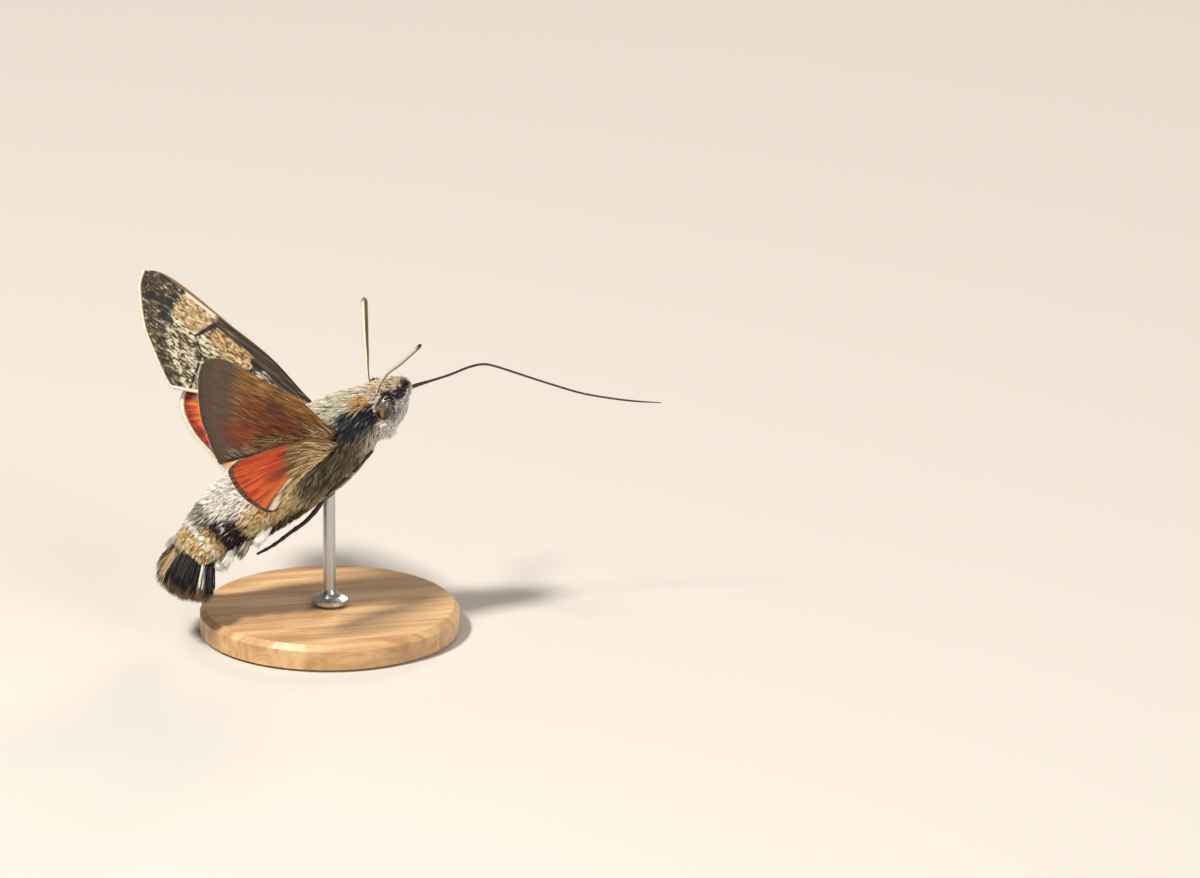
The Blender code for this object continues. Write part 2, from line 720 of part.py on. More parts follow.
def build_head(moth, finish):
    """Head, eyes and palps in their beds, feelers and the two lengths of the tongue."""
    head = head_shape("head", moth)
    beds = [shape("bed", side, moth, GAP) for shape in (eye, palp) for side in (-1, 1)]
    combine(head, beds, "DIFFERENCE")
    dress(head, finish["head"])
    cutter = guide(head_shape("head_guide", moth, GAP))
    for word, side in (("right", -1), ("left", 1)):
        dress(eye(f"eye_{word}", side, moth), finish["eye"])
        dress(palp(f"palp_{word}", side, moth), finish["palp"])
        stalk = feeler(f"antenna_{word}", word, moth)
        cut_by(stalk, cutter)
        dress(stalk, finish["antenna"])
    count = len(TONGUE_BASE)
    radii = [TONGUE_ROOT_RADIUS, TONGUE_ROOT_RADIUS] + [TONGUE_RADIUS] * (count - 2)
    base = tongue("proboscis_base", TONGUE_BASE, radii, moth)
    cut_by(base, cutter)
    dress(base, finish["proboscis"])
    count = len(TONGUE_TIP)
    radii = [TONGUE_RADIUS] * (count - 2) + [TONGUE_RADIUS * 0.85, TONGUE_END_RADIUS]
    dress(tongue("proboscis_tip", TONGUE_TIP, radii, moth), finish["proboscis"])


def build_wings(moth, finish, trunk_cutter):
    """Both pairs of wings, cut clear of the trunk."""
    below = fore_plane()[2]
    for word, side in (("right", -1), ("left", 1)):
        fore = wing(f"forewing_{word}", fore_patch(), FORE_VEINS, FORE_CAMBER, -below, side, moth)
        hind = wing(f"hindwing_{word}", hind_patch(word), HIND_VEINS, HIND_CAMBER, below, side, moth)
        for made, look in ((fore, "forewing"), (hind, "hindwing")):
            cut_by(made, trunk_cutter, "MANIFOLD")
            dress(made, finish[look], 35.0)


def build_legs(moth, finish):
    """Six legs: the first two pairs folded into the chest, the last trailing."""
    for word, side in (("right", -1), ("left", 1)):
        for kind in ("fore", "mid", "hind"):
            dress(leg(f"leg_{kind}_{word}", kind, side, moth), finish["leg"])


def finishes():
    """A plain material for each kind of node."""
    return {
        "head": material("head_coat", (0.42, 0.36, 0.26), 0.8),
        "thorax": material("thorax_coat", (0.36, 0.34, 0.25), 0.8),
        "abdomen": material("abdomen_coat", (0.42, 0.37, 0.27), 0.8),
        "tail_fan": material("tail_coat", (0.1, 0.08, 0.06), 0.75),
        "forewing": material("forewing_scales", (0.3, 0.24, 0.16), 0.7),
        "hindwing": material("hindwing_scales", (0.72, 0.24, 0.05), 0.65),
        "eye": material("eye_cornea", (0.05, 0.03, 0.02), 0.15),
        "palp": material("palp_coat", (0.75, 0.73, 0.68), 0.8),
        "antenna": material("antenna_horn", (0.2, 0.16, 0.12), 0.5),
        "proboscis": material("proboscis_horn", (0.05, 0.03, 0.025), 0.35),
        "leg": material("leg_horn", (0.06, 0.035, 0.03), 0.5),
        "stand_base": material("stand_wood", (0.62, 0.46, 0.3), 0.4),
        "stand_rod": material("stand_steel", (0.62, 0.62, 0.64), 0.3, 1.0),
    }


def main():
    clear_scene()
    moth = bpy.data.objects.new("moth", None)
    moth.location = (MOTH_X * MM, 0, MOTH_Z * MM)
    bpy.context.scene.collection.objects.link(moth)
    finish = finishes()
    trunk_cutter = guide(trunk_length("trunk_guide", 0.0, TRUNK_COURSE.length, moth, GAP, 24))
    build_trunk(moth, finish)
    build_head(moth, finish)
    build_legs(moth, finish)
    build_wings(moth, finish, trunk_cutter)
    build_stand(trunk_cutter, finish)


TRUNK_COURSE = Course(TRUNK, places=2)
main()
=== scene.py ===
"""Looks of a life-size hummingbird hawk moth on a small display stand.

Sizes and places are millimetres in the moth's own frame until a mesh is made. Its zero point is on the
body's middle line at the waist, the moth faces +X and its right side is towards -Y.
"""

import math

import bmesh
import bpy
import numpy as np
from bpy.props import FloatProperty, FloatVectorProperty, IntProperty, PointerProperty
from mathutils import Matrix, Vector


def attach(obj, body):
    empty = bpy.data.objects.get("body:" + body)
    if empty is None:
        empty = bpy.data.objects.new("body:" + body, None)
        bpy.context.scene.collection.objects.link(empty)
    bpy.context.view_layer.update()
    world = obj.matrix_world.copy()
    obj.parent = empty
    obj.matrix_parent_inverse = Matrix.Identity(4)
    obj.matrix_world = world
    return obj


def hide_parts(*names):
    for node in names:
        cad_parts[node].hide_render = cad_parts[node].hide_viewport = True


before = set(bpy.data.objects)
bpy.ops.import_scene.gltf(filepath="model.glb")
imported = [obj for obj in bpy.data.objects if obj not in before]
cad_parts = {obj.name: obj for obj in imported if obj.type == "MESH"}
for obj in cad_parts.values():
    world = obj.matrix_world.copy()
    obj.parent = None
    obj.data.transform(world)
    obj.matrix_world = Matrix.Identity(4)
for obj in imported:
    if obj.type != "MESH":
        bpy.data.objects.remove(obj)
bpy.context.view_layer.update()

bl_info = {
    "name": "Hawk Moth Model",
    "version": (1, 0, 0),
    "blender": (4, 5, 0),
    "location": "View3D > Sidebar > Moth",
    "description": "Builds the coat, wings, face and limbs of a display moth over its solids",
    "category": "Object",
}

MM = 0.001  # metres in a millimetre
MOTH_PLACE = np.array((-3.5, 0.0, 15.2))  # the moth's zero point over the middle of the stand
SEED = 31
SIDES = (("right", -1), ("left", 1))

# Sections of the body, front to back: x, z, pitch in degrees, half width, half height
FACE = (10.68, 5.92, -27.0, 0.05, 0.05)
HEAD = (
    (10.52, 5.86, -25.0, 0.85, 1.10),
    (10.25, 5.80, -21.0, 1.55, 1.78),
    (9.82, 5.70, -13.0, 2.05, 2.22),
    (9.30, 5.52, -4.0, 2.32, 2.45),
    (8.70, 5.27, 4.0, 2.45, 2.55),
    (8.00, 5.00, 9.0, 2.55, 2.62),
    (7.26, 4.76, 13.0, 2.50, 2.62),
)
TRUNK = (
    (6.95, 4.68, 15.0, 2.65, 2.70),
    (5.90, 4.02, 26.0, 3.10, 3.15),
    (4.60, 3.22, 32.0, 3.50, 3.50),
    (2.70, 1.94, 34.0, 3.85, 3.93),
    (-0.30, -0.25, 36.0, 3.90, 3.85),
    (-3.25, -2.45, 36.0, 3.75, 3.45),
    (-5.15, -3.75, 37.0, 3.55, 3.10),
    (-6.60, -4.95, 41.0, 3.30, 2.75),
    (-8.35, -6.75, 48.0, 2.90, 2.20),
)
TAIL_ROOT = np.array((-8.35, 0.0, -6.75))
TAIL_PITCH = 66.0  # degrees below level that the fan points, backwards
TAIL_CORE = 1.9
TAIL_LENGTH = 4.75
TAIL_SPREAD = 4.5
TAIL_ROOT_SPREAD = 2.25

EYE_PLACE = (8.1, 1.92, 5.78)
EYE_SIZE = (0.74, 0.87, 1.15)
EYE_LEAN = 8.0
PALP_PLACE = (9.72, 0.70, 4.98)
PALP_SIZE = (0.60, 0.52, 1.42)
PALP_LEAN = 24.0

# The tongue: its course in the middle plane
TONGUE = (
    (9.6, 6.3),
    (10.3, 6.62),
    (11.3, 7.0),
    (12.6, 7.32),
    (14.35, 7.77),
    (16.2, 8.38),
    (17.5, 8.54),
    (18.7, 8.22),
    (21.0, 7.29),
    (23.8, 6.17),
    (26.4, 5.22),
    (29.1, 4.55),
    (31.4, 4.12),
    (33.5, 3.85),
)

FEELERS = {
    "right": (
        (7.55, -1.05, 6.5),
        (7.75, -1.75, 7.9),
        (8.21, -3.2, 9.4),
        (8.84, -5.2, 10.83),
        (10.2, -8.0, 13.37),
    ),
    "left": ((7.55, 1.05, 6.5), (7.4, 1.7, 7.9), (7.62, 3.1, 9.05), (7.85, 4.8, 10.35), (8.4, 8.0, 12.9)),
}

# The wings. The fore wing is drawn on a plane: how far out from the hinge, and how far back.
FORE_HINGE = np.array((3.9, 2.8, 4.1))
FORE_TIP = np.array((-10.7, 14.0, 15.1))
FORE_CORNER = np.array((-8.3, 11.0, 4.85))
FORE_LEAD = ((0.0, 0.0), (2.2, -0.1), (7.0, -0.95), (11.8, -1.05), (16.9, -1.2), (19.6, -0.9), (21.2, 0.1))
FORE_MARGIN = ((21.2, 0.1), (20.9, 1.2), (20.2, 2.2), (18.4, 4.15), (16.1, 5.65), (14.3, 6.7), (13.0, 7.2))
FORE_TRAIL = ((0.9, 1.1), (2.9, 1.9), (5.4, 3.0), (9.3, 5.2), (11.4, 6.4), (13.0, 7.2))
FORE_CAMBER = 0.45
FORE_VEINS = (0.1, 0.24, 0.38, 0.5, 0.63, 0.78, 0.9)
HIND_LEAD = ((1.0, 1.0), (3.0, 1.35), (5.2, 2.0), (9.1, 4.2), (11.0, 5.4), (12.4, 6.2))
HIND_DROP = 1.2
HIND_MARGIN = {
    "right": (
        (-7.83, 11.58, 4.23),
        (-7.47, 11.14, 3.05),
        (-6.47, 10.3, 1.41),
        (-4.96, 9.2, -0.15),
        (-3.65, 8.2, -1.07),
    ),
    "left": (
        (-7.65, 11.35, 3.6),
        (-7.6, 11.0, 2.2),
        (-6.8, 10.25, 0.5),
        (-5.5, 9.25, -1.0),
        (-4.65, 8.55, -2.1),
    ),
}
HIND_TRAIL = {
    "right": (
        (2.32, 3.47, 2.2),
        (1.1, 4.3, 1.75),
        (-0.41, 5.41, 0.9),
        (-1.75, 6.55, -0.35),
        (-2.68, 7.5, -1.18),
    ),
    "left": ((2.32, 3.47, 2.2), (1.1, 4.3, 1.75), (-0.41, 5.41, 0.9), (-2.3, 6.85, -1.1), (-4.0, 8.0, -2.75)),
}
HIND_CAMBER = 0.3
HIND_VEINS = (0.14, 0.32, 0.5, 0.66, 0.83)

# The legs: points on the trunk as distance from the neck, angle from the side, and height over it
FORE_LEG = ((2.2, -74.0, -1.4), (1.3, -62.0, -0.35), (1.5, -52.0, -0.1), (2.8, -48.0, 0.0), (3.9, -50.0, 0.0))
MID_LEG = ((5.0, -74.0, -1.4), (4.6, -60.0, -0.3), (5.0, -48.0, -0.1), (6.2, -46.0, 0.0), (7.3, -48.0, 0.05))
HIND_HIP = ((7.3, -70.0, -1.4), (7.7, -65.0, -0.1))
HIND_TRAILING = ((1.25, 1.62, -4.15), (-0.3, 1.6, -5.25), (-1.85, 1.6, -6.32), (-3.35, 1.6, -7.05))

# The tufts along the flanks: distance from the neck, and how long
TUFTS = ((12.6, 2.3), (14.4, 2.5), (16.2, 2.5), (17.9, 2.3))
TUFT_ANGLE = -36.0
WHITE_TUFTS = (1.0, 0.3, 1.0, 1.0)  # how white each tuft is, front to back
# One more white tuft stands out on the left: distance, angle and height of its root, and its tip
LEFT_TUFT_START = (17.1, 29.0, -0.55)
LEFT_TUFT_TIP = (-10.45, 3.25, -7.48)

# The camera: where it looks, its angles round the moth, and how wide the picture is there
VIEW_MIDDLE = (23.3, -5.2, 17.8)
VIEW_TURN = -12.7
VIEW_RISE = 18.0
VIEW_WIDTH = 105.6
VIEW_DISTANCE = 1200.0
SENSOR = 36.0

PLANE_SIZE = 25.0  # millimetres to one unit of the fore wing's map
EYE_GUARD = 2.6  # half width of the room that hair leaves free at an eye
FIRST_ROOT = 0.05  # how near to the face's point a tuft may grow
SEGMENT = 1.66  # length of one segment of the abdomen
TAIL_LOCKS = 260
TAIL_TUFTS = 8200
FLANK_HAIRS = 300  # in each side tuft
RIM_HAIRS = 420  # round each eye
SPIKES = 150  # on each side of the throat
FLOOR_HALF = 4.0  # metres

# The light: the sky's strength, and each lamp's name, place from the view's middle, width, power and colour
SKY = 0.3
LAMPS = (
    ("sun", (-0.4, -0.16, 0.6), 0.1, 7.0, (1.0, 0.95, 0.87)),
    ("fill", (0.3, -0.7, 0.35), 0.4, 3.0, (1.0, 0.98, 0.96)),
    ("rim", (0.35, 0.6, 0.35), 0.2, 1.6, (1.0, 0.86, 0.7)),
)


def paint(red, green, blue):
    """A colour as the eye sees it, 0 to 255, as the light that Blender mixes."""
    shares = [value / 255 for value in (red, green, blue)]
    return tuple(s / 12.92 if s <= 0.04045 else ((s + 0.055) / 1.055) ** 2.4 for s in shares)


def length(name, description, millimetres):
    """A size that the panel shows."""
    return FloatProperty(
        name=name, description=description, default=millimetres * MM, unit="LENGTH", precision=5
    )


def tint(name, description, red, green, blue):
    """A colour that the panel shows."""
    return FloatVectorProperty(
        name=name, description=description, default=paint(red, green, blue), subtype="COLOR", min=0, max=1
    )


class MothSizes(bpy.types.PropertyGroup):
    """Sizes of what covers the solids."""

    head_hair: length("Head hair width", "Width of a tuft on the head", 0.05)
    trunk_hair: length("Thorax hair width", "Width of a tuft on the thorax", 0.06)
    scale_hair: length("Abdomen scale width", "Width of a hair scale on the abdomen", 0.075)
    head_strands: length("Head strands", "From one strand to the next on the head", 0.2)
    trunk_strands: length("Thorax strands", "From one strand to the next on the thorax", 0.26)
    scale_strands: length("Abdomen strands", "From one strand to the next on the abdomen", 0.28)
    membrane: length("Wing membrane", "Thickness of a wing between its veins", 0.09)
    vein: length("Vein height", "How far a vein stands off the membrane", 0.05)
    fringe: length("Fringe", "How far the fringe reaches past the membrane", 0.4)
    tongue: length("Tongue radius", "Radius of the tongue past its root", 0.1)
    feeler_ribs: IntProperty(name="Feeler rings", description="Rings along a feeler", default=44)


class MothColours(bpy.types.PropertyGroup):
    """Colours of the coat, the wings and the limbs."""

    crown: tint("Crown", "Beige fur on top of the head", 222, 198, 168)
    sage: tint("Back", "Pale grey olive fur on the back", 216, 216, 188)
    collar: tint("Collar", "Orange patch behind the head", 216, 158, 90)
    slate: tint("Slate", "Blue black patch behind the eye", 30, 35, 46)
    plum: tint("Plum", "Dark stripe in front of the eye", 46, 34, 48)
    cream: tint("Cream", "Throat and front of the abdomen", 238, 228, 204)
    white: tint("White", "Palps, bands and side tufts", 250, 247, 240)
    straw: tint("Straw", "Yellow cream of the flank", 236, 206, 146)
    tan: tint("Tan", "Tan hair of the last segments", 208, 168, 112)
    brown: tint("Brown", "Brown hair below the wings", 132, 98, 58)
    umber: tint("Umber", "Dark brown hair", 58, 44, 32)
    black: tint("Black", "Black patches and the tail", 16, 13, 12)
    orange: tint("Orange", "Hind wing", 240, 110, 26)
    rust: tint("Rust", "Red patches of the wings", 172, 44, 14)
    amber: tint("Amber", "Under side of the fore wing", 172, 118, 46)
    maroon: tint("Maroon", "Red brown middle of the fore wing below", 112, 38, 14)
    margin: tint("Margin", "Outer part of the fore wing below", 108, 86, 66)
    buff: tint("Buff", "Light scales of the fore wing above", 206, 182, 132)
    horn: tint("Horn", "Legs and tongue", 48, 24, 20)


def sizes():
    return bpy.context.scene.moth_sizes


def colours():
    return bpy.context.scene.moth_colours


# Numbers and shapes


def unit(vectors):
    """The vectors, each made one long."""
    return vectors / np.maximum(np.linalg.norm(vectors, axis=-1, keepdims=True), 1e-12)


def spline(rows, steps):
    """A smooth run through rows of numbers, with this many steps from each row to the next."""
    rows = np.asarray(rows, float)
    rows = np.vstack([2 * rows[0] - rows[1], rows, 2 * rows[-1] - rows[-2]])
    t = (np.arange(steps) / steps)[:, None]
    found = []
    for a, b, c, d in zip(rows, rows[1:], rows[2:], rows[3:]):
        bend = a - 2.5 * b + 2 * c - d / 2
        twist = 1.5 * (b - c) + (d - a) / 2
        found.append(b + (c - a) * (t / 2) + bend * t**2 + twist * t**3)
    return np.vstack(found + [rows[-2:-1]])


class Course:
    """A smooth course through rows of numbers. The first `places` numbers of a row measure its length."""

    def __init__(self, rows, places=3, steps=12):
        self.rows = spline(rows, steps)
        gaps = np.linalg.norm(np.diff(self.rows[:, :places], axis=0), axis=1)
        self.reach = np.concatenate([[0.0], np.cumsum(gaps)])
        self.length = self.reach[-1]

    def at(self, distance):
        """The rows these far along, held to the course's ends."""
        return np.stack([np.interp(distance, self.reach, column) for column in self.rows.T], -1)

    def share(self, t):
        """The rows at these shares of the course's length."""
        return self.at(np.asarray(t, float) * self.length)


def section_point(row, angle, grow):
    """Points of sections (x, z, pitch, half width, half height) at angles from the moth's left side upwards."""
    x, z, pitch, wide, high = np.moveaxis(np.asarray(row, float), -1, 0)
    pitch = np.radians(pitch)
    up = (high + grow) * np.sin(angle)
    return np.stack([x - up * np.sin(pitch), (wide + grow) * np.cos(angle), z + up * np.cos(pitch)], -1)


class Surface:
    """A surface drawn by a distance along it and a turn round it, from 0 to 1."""

    def point(self, along, turn, height):
        """Points this far off the surface, along its own normal."""
        step = 0.01
        here = self.base(along, turn)
        ahead = self.base(along + step, turn) - self.base(along - step, turn)
        round_it = self.base(along, turn + step) - self.base(along, turn - step)
        return here + unit(np.cross(ahead, round_it)) * (self.outward * np.asarray(height))[..., None]


class Body(Surface):
    """Head, trunk and tail core. A turn of 0 is the belly, 0.25 the left side and 0.5 the back."""

    outward = 1.0

    def __init__(self):
        root, back, _ = tail_frame()
        rows = [FACE, *HEAD, *TRUNK]
        for share, size in ((0.5, 0.86), (1.0, 0.6)):
            place = root + back * TAIL_CORE * share
            pitch = TRUNK[-1][2] + (TAIL_PITCH - TRUNK[-1][2]) * share
            rows.append((place[0], place[2], pitch, TRUNK[-1][3] * size, TRUNK[-1][4] * size))
        rows = [(x, z, high, wide, pitch) for x, z, pitch, wide, high in rows]
        self.course = Course(rows, places=3)
        self.length = self.course.length

    def base(self, along, turn):
        x, z, high, wide, pitch = np.moveaxis(self.course.at(along), -1, 0)
        return section_point(np.stack([x, z, pitch, wide, high], -1), 2 * np.pi * turn - np.pi / 2, 0.0)

    def girth(self, along):
        """How far it is round the body."""
        row = self.course.at(along)
        return math.pi * (row[..., 2] + row[..., 3])


class Egg(Surface):
    """An egg shape whose pole leans forward. Along it runs from its lower pole to its upper one."""

    outward = -1.0

    def __init__(self, place, size, lean, side):
        x, y, z = place
        lean = math.radians(lean)
        self.place = np.array((x, side * y, z))
        self.size = np.array(size)
        self.axes = np.array(
            ((math.cos(lean), 0, -math.sin(lean)), (0, 1, 0), (math.sin(lean), 0, math.cos(lean)))
        )
        self.length = math.pi * size[2] * 0.8

    def base(self, along, turn):
        polar = np.pi * np.asarray(along, float) / self.length
        turn = 2 * np.pi * np.asarray(turn, float)
        local = np.stack([np.cos(turn) * np.sin(polar), np.sin(turn) * np.sin(polar), -np.cos(polar)], -1)
        return self.place + (local * self.size) @ self.axes

    def girth(self, along):
        return math.pi * (self.size[0] + self.size[1]) * np.sin(np.pi * along / self.length)

    def holds(self, points, grow):
        """Which points lie inside the egg grown by this much."""
        local = (points - self.place) @ self.axes.T / (self.size + grow)
        return (local**2).sum(-1) < 1.0


def tail_frame():
    """The tail's root, its direction backwards and its upper side."""
    pitch = math.radians(TAIL_PITCH)
    back = np.array((-math.cos(pitch), 0.0, -math.sin(pitch)))
    return TAIL_ROOT, back, np.array((-math.sin(pitch), 0.0, math.cos(pitch)))


class Patch:
    """A smooth surface between four edge courses: lead and trail run outwards, root and margin across."""

    def __init__(self, lead, trail, root, margin):
        self.lead = Course(lead)
        self.trail = Course(trail)
        self.root = Course(root)
        self.margin = Course(margin)

    def place(self, out, across):
        """Points this share of the way out, and across from the lead to the trail."""
        out, across = np.broadcast_arrays(out, across)
        o = out[..., None]
        c = across[..., None]
        lead = self.lead.share(out)
        trail = self.trail.share(out)
        root = self.root.share(across)
        margin = self.margin.share(across)
        inner = self.lead.share(0.0) * (1 - c) + self.trail.share(0.0) * c
        outer = self.lead.share(1.0) * (1 - c) + self.trail.share(1.0) * c
        return lead * (1 - c) + trail * c + root * (1 - o) + margin * o - inner * (1 - o) - outer * o


def fore_plane():
    """The fore wing's plane: its outward and backward directions and the normal on its under side."""
    out = unit(FORE_TIP - FORE_HINGE)
    back = FORE_CORNER - FORE_HINGE
    back = unit(back - out * back.dot(out))
    return out, back, unit(np.cross(back, out))


class Wing:
    """One wing's middle surface. A positive height is on its upper side."""

    def __init__(self, patch, veins, camber, rise, side):
        self.patch = patch
        self.veins = veins
        self.camber = camber
        self.rise = rise
        self.side = side

    def middle(self, out, across):
        """The blade's middle, arched by its camber."""
        out = np.clip(out, 0, 1)
        crown = self.camber * np.sin(np.pi * across) * np.sin(np.pi * out**0.7)
        return self.patch.place(out, across) + np.asarray(crown)[..., None] * self.rise

    def point(self, out, across, height):
        """Points this far off the middle surface."""
        out, across = np.broadcast_arrays(np.asarray(out, float), np.asarray(across, float))
        step = 0.01
        along = self.middle(np.minimum(out + step, 1), across) - self.middle(np.maximum(out - step, 0), across)
        over = self.middle(out, np.minimum(across + step, 1)) - self.middle(out, np.maximum(across - step, 0))
        lifted = self.middle(out, across) + unit(np.cross(along, over)) * np.asarray(height)[..., None]
        return lifted * (1, self.side, 1)


def fore_wing(side):
    out, back, below = fore_plane()

    def drawn(rows):
        return [FORE_HINGE + out * a + back * b for a, b in rows]

    patch = Patch(drawn(FORE_LEAD), drawn(FORE_TRAIL), drawn((FORE_LEAD[0], FORE_TRAIL[0])), drawn(FORE_MARGIN))
    return Wing(patch, FORE_VEINS, FORE_CAMBER, -below, side)


def hind_wing(word, side):
    out, back, below = fore_plane()
    lead = [FORE_HINGE + out * a + back * b + below * HIND_DROP for a, b in HIND_LEAD]
    trail = HIND_TRAIL[word]
    patch = Patch(lead, trail, (lead[0], trail[0]), (lead[-1], *HIND_MARGIN[word], trail[-1]))
    return Wing(patch, HIND_VEINS, HIND_CAMBER, below, side)


# Meshes


def piece(name, points, faces, look, replaced=(), maps=None):
    """A finished piece on the moth's body, from points in the moth's frame. Its faces look outwards."""
    mesh = bpy.data.meshes.new(name)
    mesh.from_pydata((np.asarray(points) + MOTH_PLACE) * MM, [], faces)
    corners = np.zeros(len(mesh.loops), np.int32)
    mesh.loops.foreach_get("vertex_index", corners)
    for map_name, places in (maps or {}).items():
        layer = mesh.uv_layers.new(name=map_name)
        places = np.asarray(places, np.float32)
        layer.uv.foreach_set("vector", (places if len(places) == len(corners) else places[corners]).ravel())
    form = bmesh.new()
    form.from_mesh(mesh)
    inside_out = form.calc_volume(signed=True) < 0
    form.free()
    if inside_out:
        mesh.flip_normals()
    mesh.shade_smooth()
    made = bpy.data.objects.new(name, mesh)
    bpy.context.scene.collection.objects.link(made)
    mesh.materials.append(look)
    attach(made, "root")
    if replaced:
        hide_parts(*replaced)
    return made


def loft_faces(rows, sides):
    """Faces over rings of points, and caps that close on the two points after them."""
    row, i = np.meshgrid(np.arange(rows - 1), np.arange(sides), indexing="ij")
    a = row * sides + i
    b = row * sides + (i + 1) % sides
    faces = np.stack([a, b, b + sides, a + sides], -1).reshape(-1, 4).tolist()
    ring = np.arange(sides)
    following = (ring + 1) % sides
    last = (rows - 1) * sides
    end = rows * sides
    faces += np.stack([following, ring, np.full(sides, end)], -1).tolist()
    return faces + np.stack([last + ring, last + following, np.full(sides, end + 1)], -1).tolist()


def tube(course, radii, sides, flat=1.0):
    """Points and faces of a tube along points, with a radius at each. `flat` squeezes it one way."""
    course = np.asarray(course, float)
    forward = unit(np.gradient(course, axis=0))
    across = np.array((0.0, 1.0, 0.0))
    turn = 2 * np.pi * np.arange(sides) / sides
    rings = []
    for place, ahead, radius in zip(course, forward, radii):
        across = unit(across - ahead * across.dot(ahead))
        up = np.cross(ahead, across)
        rings.append(place + (np.outer(np.cos(turn), across) + np.outer(np.sin(turn), up) * flat) * radius)
    points = np.vstack([*rings, course[:1], course[-1:]])
    return points, loft_faces(len(course), sides)


# A tuft's rings: share of its length, and share of its width
TUFT_RINGS = ((0.0, 0.7), (0.35, 1.0), (0.72, 0.72))
TUFT_SHARES = tuple(share for share, _ in TUFT_RINGS) + (1.0,)
TUFT_PATCH = 0.003  # side of a tuft's patch on the baking map
SPREAD_STEPS = 6  # steps along a strand's path


def tuft_faces(count):
    """Faces of many tufts, each three rings of three points and a tip."""
    one = []
    for ring in (0, 3):
        for i in range(3):
            a = ring + i
            b = ring + (i + 1) % 3
            one += [(a, b + 3, b), (a, a + 3, b + 3)]
    one += [(7, 6, 9), (8, 7, 9), (6, 8, 9), (0, 1, 2)]
    return (np.arange(count)[:, None, None] * 10 + np.array(one)[None]).reshape(-1, 3)


def tufts(name, lines, up, widths, thickness, roots, grain, look):
    """A coat piece. Each tuft has four points along it, the way up from its skin, its root's place on the
    unwrap, where its markings are read, and a number of its own from 0 to 1."""
    lines = np.asarray(lines, float)
    count = len(lines)
    along = unit(lines[:, -1] - lines[:, 0])
    across = unit(np.cross(along, up))
    top = np.cross(across, along)
    widths = np.broadcast_to(widths, count)[:, None]
    points = np.empty((count, 10, 3))
    for ring, (_, size) in enumerate(TUFT_RINGS):
        points[:, ring * 3] = lines[:, ring] + across * widths * size / 2
        points[:, ring * 3 + 1] = lines[:, ring] + top * thickness * size
        points[:, ring * 3 + 2] = lines[:, ring] - across * widths * size / 2
    points[:, 9] = lines[:, 3]
    aside = np.array((0, 0.5, 1) * 3 + (0.5,)) - 0.5
    share = np.repeat(TUFT_SHARES, (3, 3, 3, 1))
    spread = np.stack([aside, share - 0.5], -1) * TUFT_PATCH
    roots = np.asarray(roots)
    patch = np.clip(roots, 0.002, 0.998)[:, None, :] + spread[None]
    fixed = np.repeat(roots[:, None, :], 10, 1)
    own = np.stack([np.repeat(np.asarray(grain)[:, None], 10, 1), np.broadcast_to(share, (count, 10))], -1)
    maps = {"OFBake": patch.reshape(-1, 2), "Root": fixed.reshape(-1, 2), "Lock": own.reshape(-1, 2)}
    piece(name, points.reshape(-1, 3), tuft_faces(count), look, (), maps)


def scatter(surface, first, last, spacing, draw):
    """Roots spread evenly over a surface, row by row, each moved a little at random."""
    places = []
    for along in np.arange(first, last, spacing):
        count = max(3, int(surface.girth(along) / spacing))
        turn = (np.arange(count) + draw.uniform() + draw.uniform(-0.4, 0.4, count)) / count % 1
        places.append(np.stack([along + draw.uniform(-0.5, 0.5, count) * spacing, turn], -1))
    return np.concatenate(places)


def ripple(along, turn, scale, phase):
    """Soft waves over a surface, from -1 to 1, so that neighbouring strands lean alike."""
    first = np.sin(along * 2.1 * scale + phase + 3 * np.sin(turn * 12.6 + along * 0.7 * scale))
    second = np.sin(turn * 44.0 * scale + along * 1.3 + phase * 2)
    return (first + second) / 2


def strand_paths(surface, roots, reach, lie):
    """Paths over a surface from these roots. `lie` gives the angle from straight back at each place."""
    along, turn = roots.T
    path = [roots]
    for _ in range(SPREAD_STEPS):
        angle = lie(along, turn)
        along = along + reach * np.cos(angle) / SPREAD_STEPS
        turn = turn + reach * np.sin(angle) / SPREAD_STEPS / np.maximum(surface.girth(along), 0.8)
        path.append(np.stack([along, turn], -1))
    return np.stack(path, 1)


def strand_hairs(surface, path, hairs, spread, low, tip, draw):
    """Tufts gathered round strands: each strand's hairs start beside its path and draw in to its tip.
    `low` gives the roots' height at a distance along. Returns lines, ways up, roots and strand numbers."""
    strand = np.repeat(np.arange(len(path)), hairs)
    count = len(strand)
    aside = draw.normal(0, 1, count) * spread
    first = draw.uniform(0, 0.4, count)
    last = first + (1 - first) * draw.uniform(0.72, 1.0, count)
    top = tip[strand] + draw.normal(0, 0.03, count)
    lines = []
    for share in TUFT_SHARES:
        at = (first + (last - first) * share) * SPREAD_STEPS
        step = np.minimum(at.astype(int), SPREAD_STEPS - 1)
        part = (at - step)[:, None]
        place = path[strand, step] * (1 - part) + path[strand, step + 1] * part
        along = place[:, 0]
        turn = place[:, 1] + aside * (1 - 0.4 * at / SPREAD_STEPS) / np.maximum(surface.girth(along), 0.8)
        if share == 0:
            roots = np.stack([along, turn], -1)
            base = low(along)
        lines.append(surface.point(along, turn, base + (top - base) * share**0.75))
    lift = surface.point(*roots.T, base + 0.2) - surface.point(*roots.T, base)
    return np.stack(lines, 1), unit(lift), roots, strand


def clear_of(lines, shapes):
    """Lines drawn in where they reach into a shape, and which of them stay clear of it."""
    held = np.zeros(len(lines), bool)
    for size in (1.0, 0.6, 0.35):
        tried = lines[:, :1] + (lines - lines[:, :1]) * size
        inside = np.any([shape.holds(tried, 0.02).any(1) for shape in shapes], axis=0)
        fits = ~inside & ~held
        lines = np.where(fits[:, None, None], tried, lines)
        held |= fits
    return lines, held


# Materials


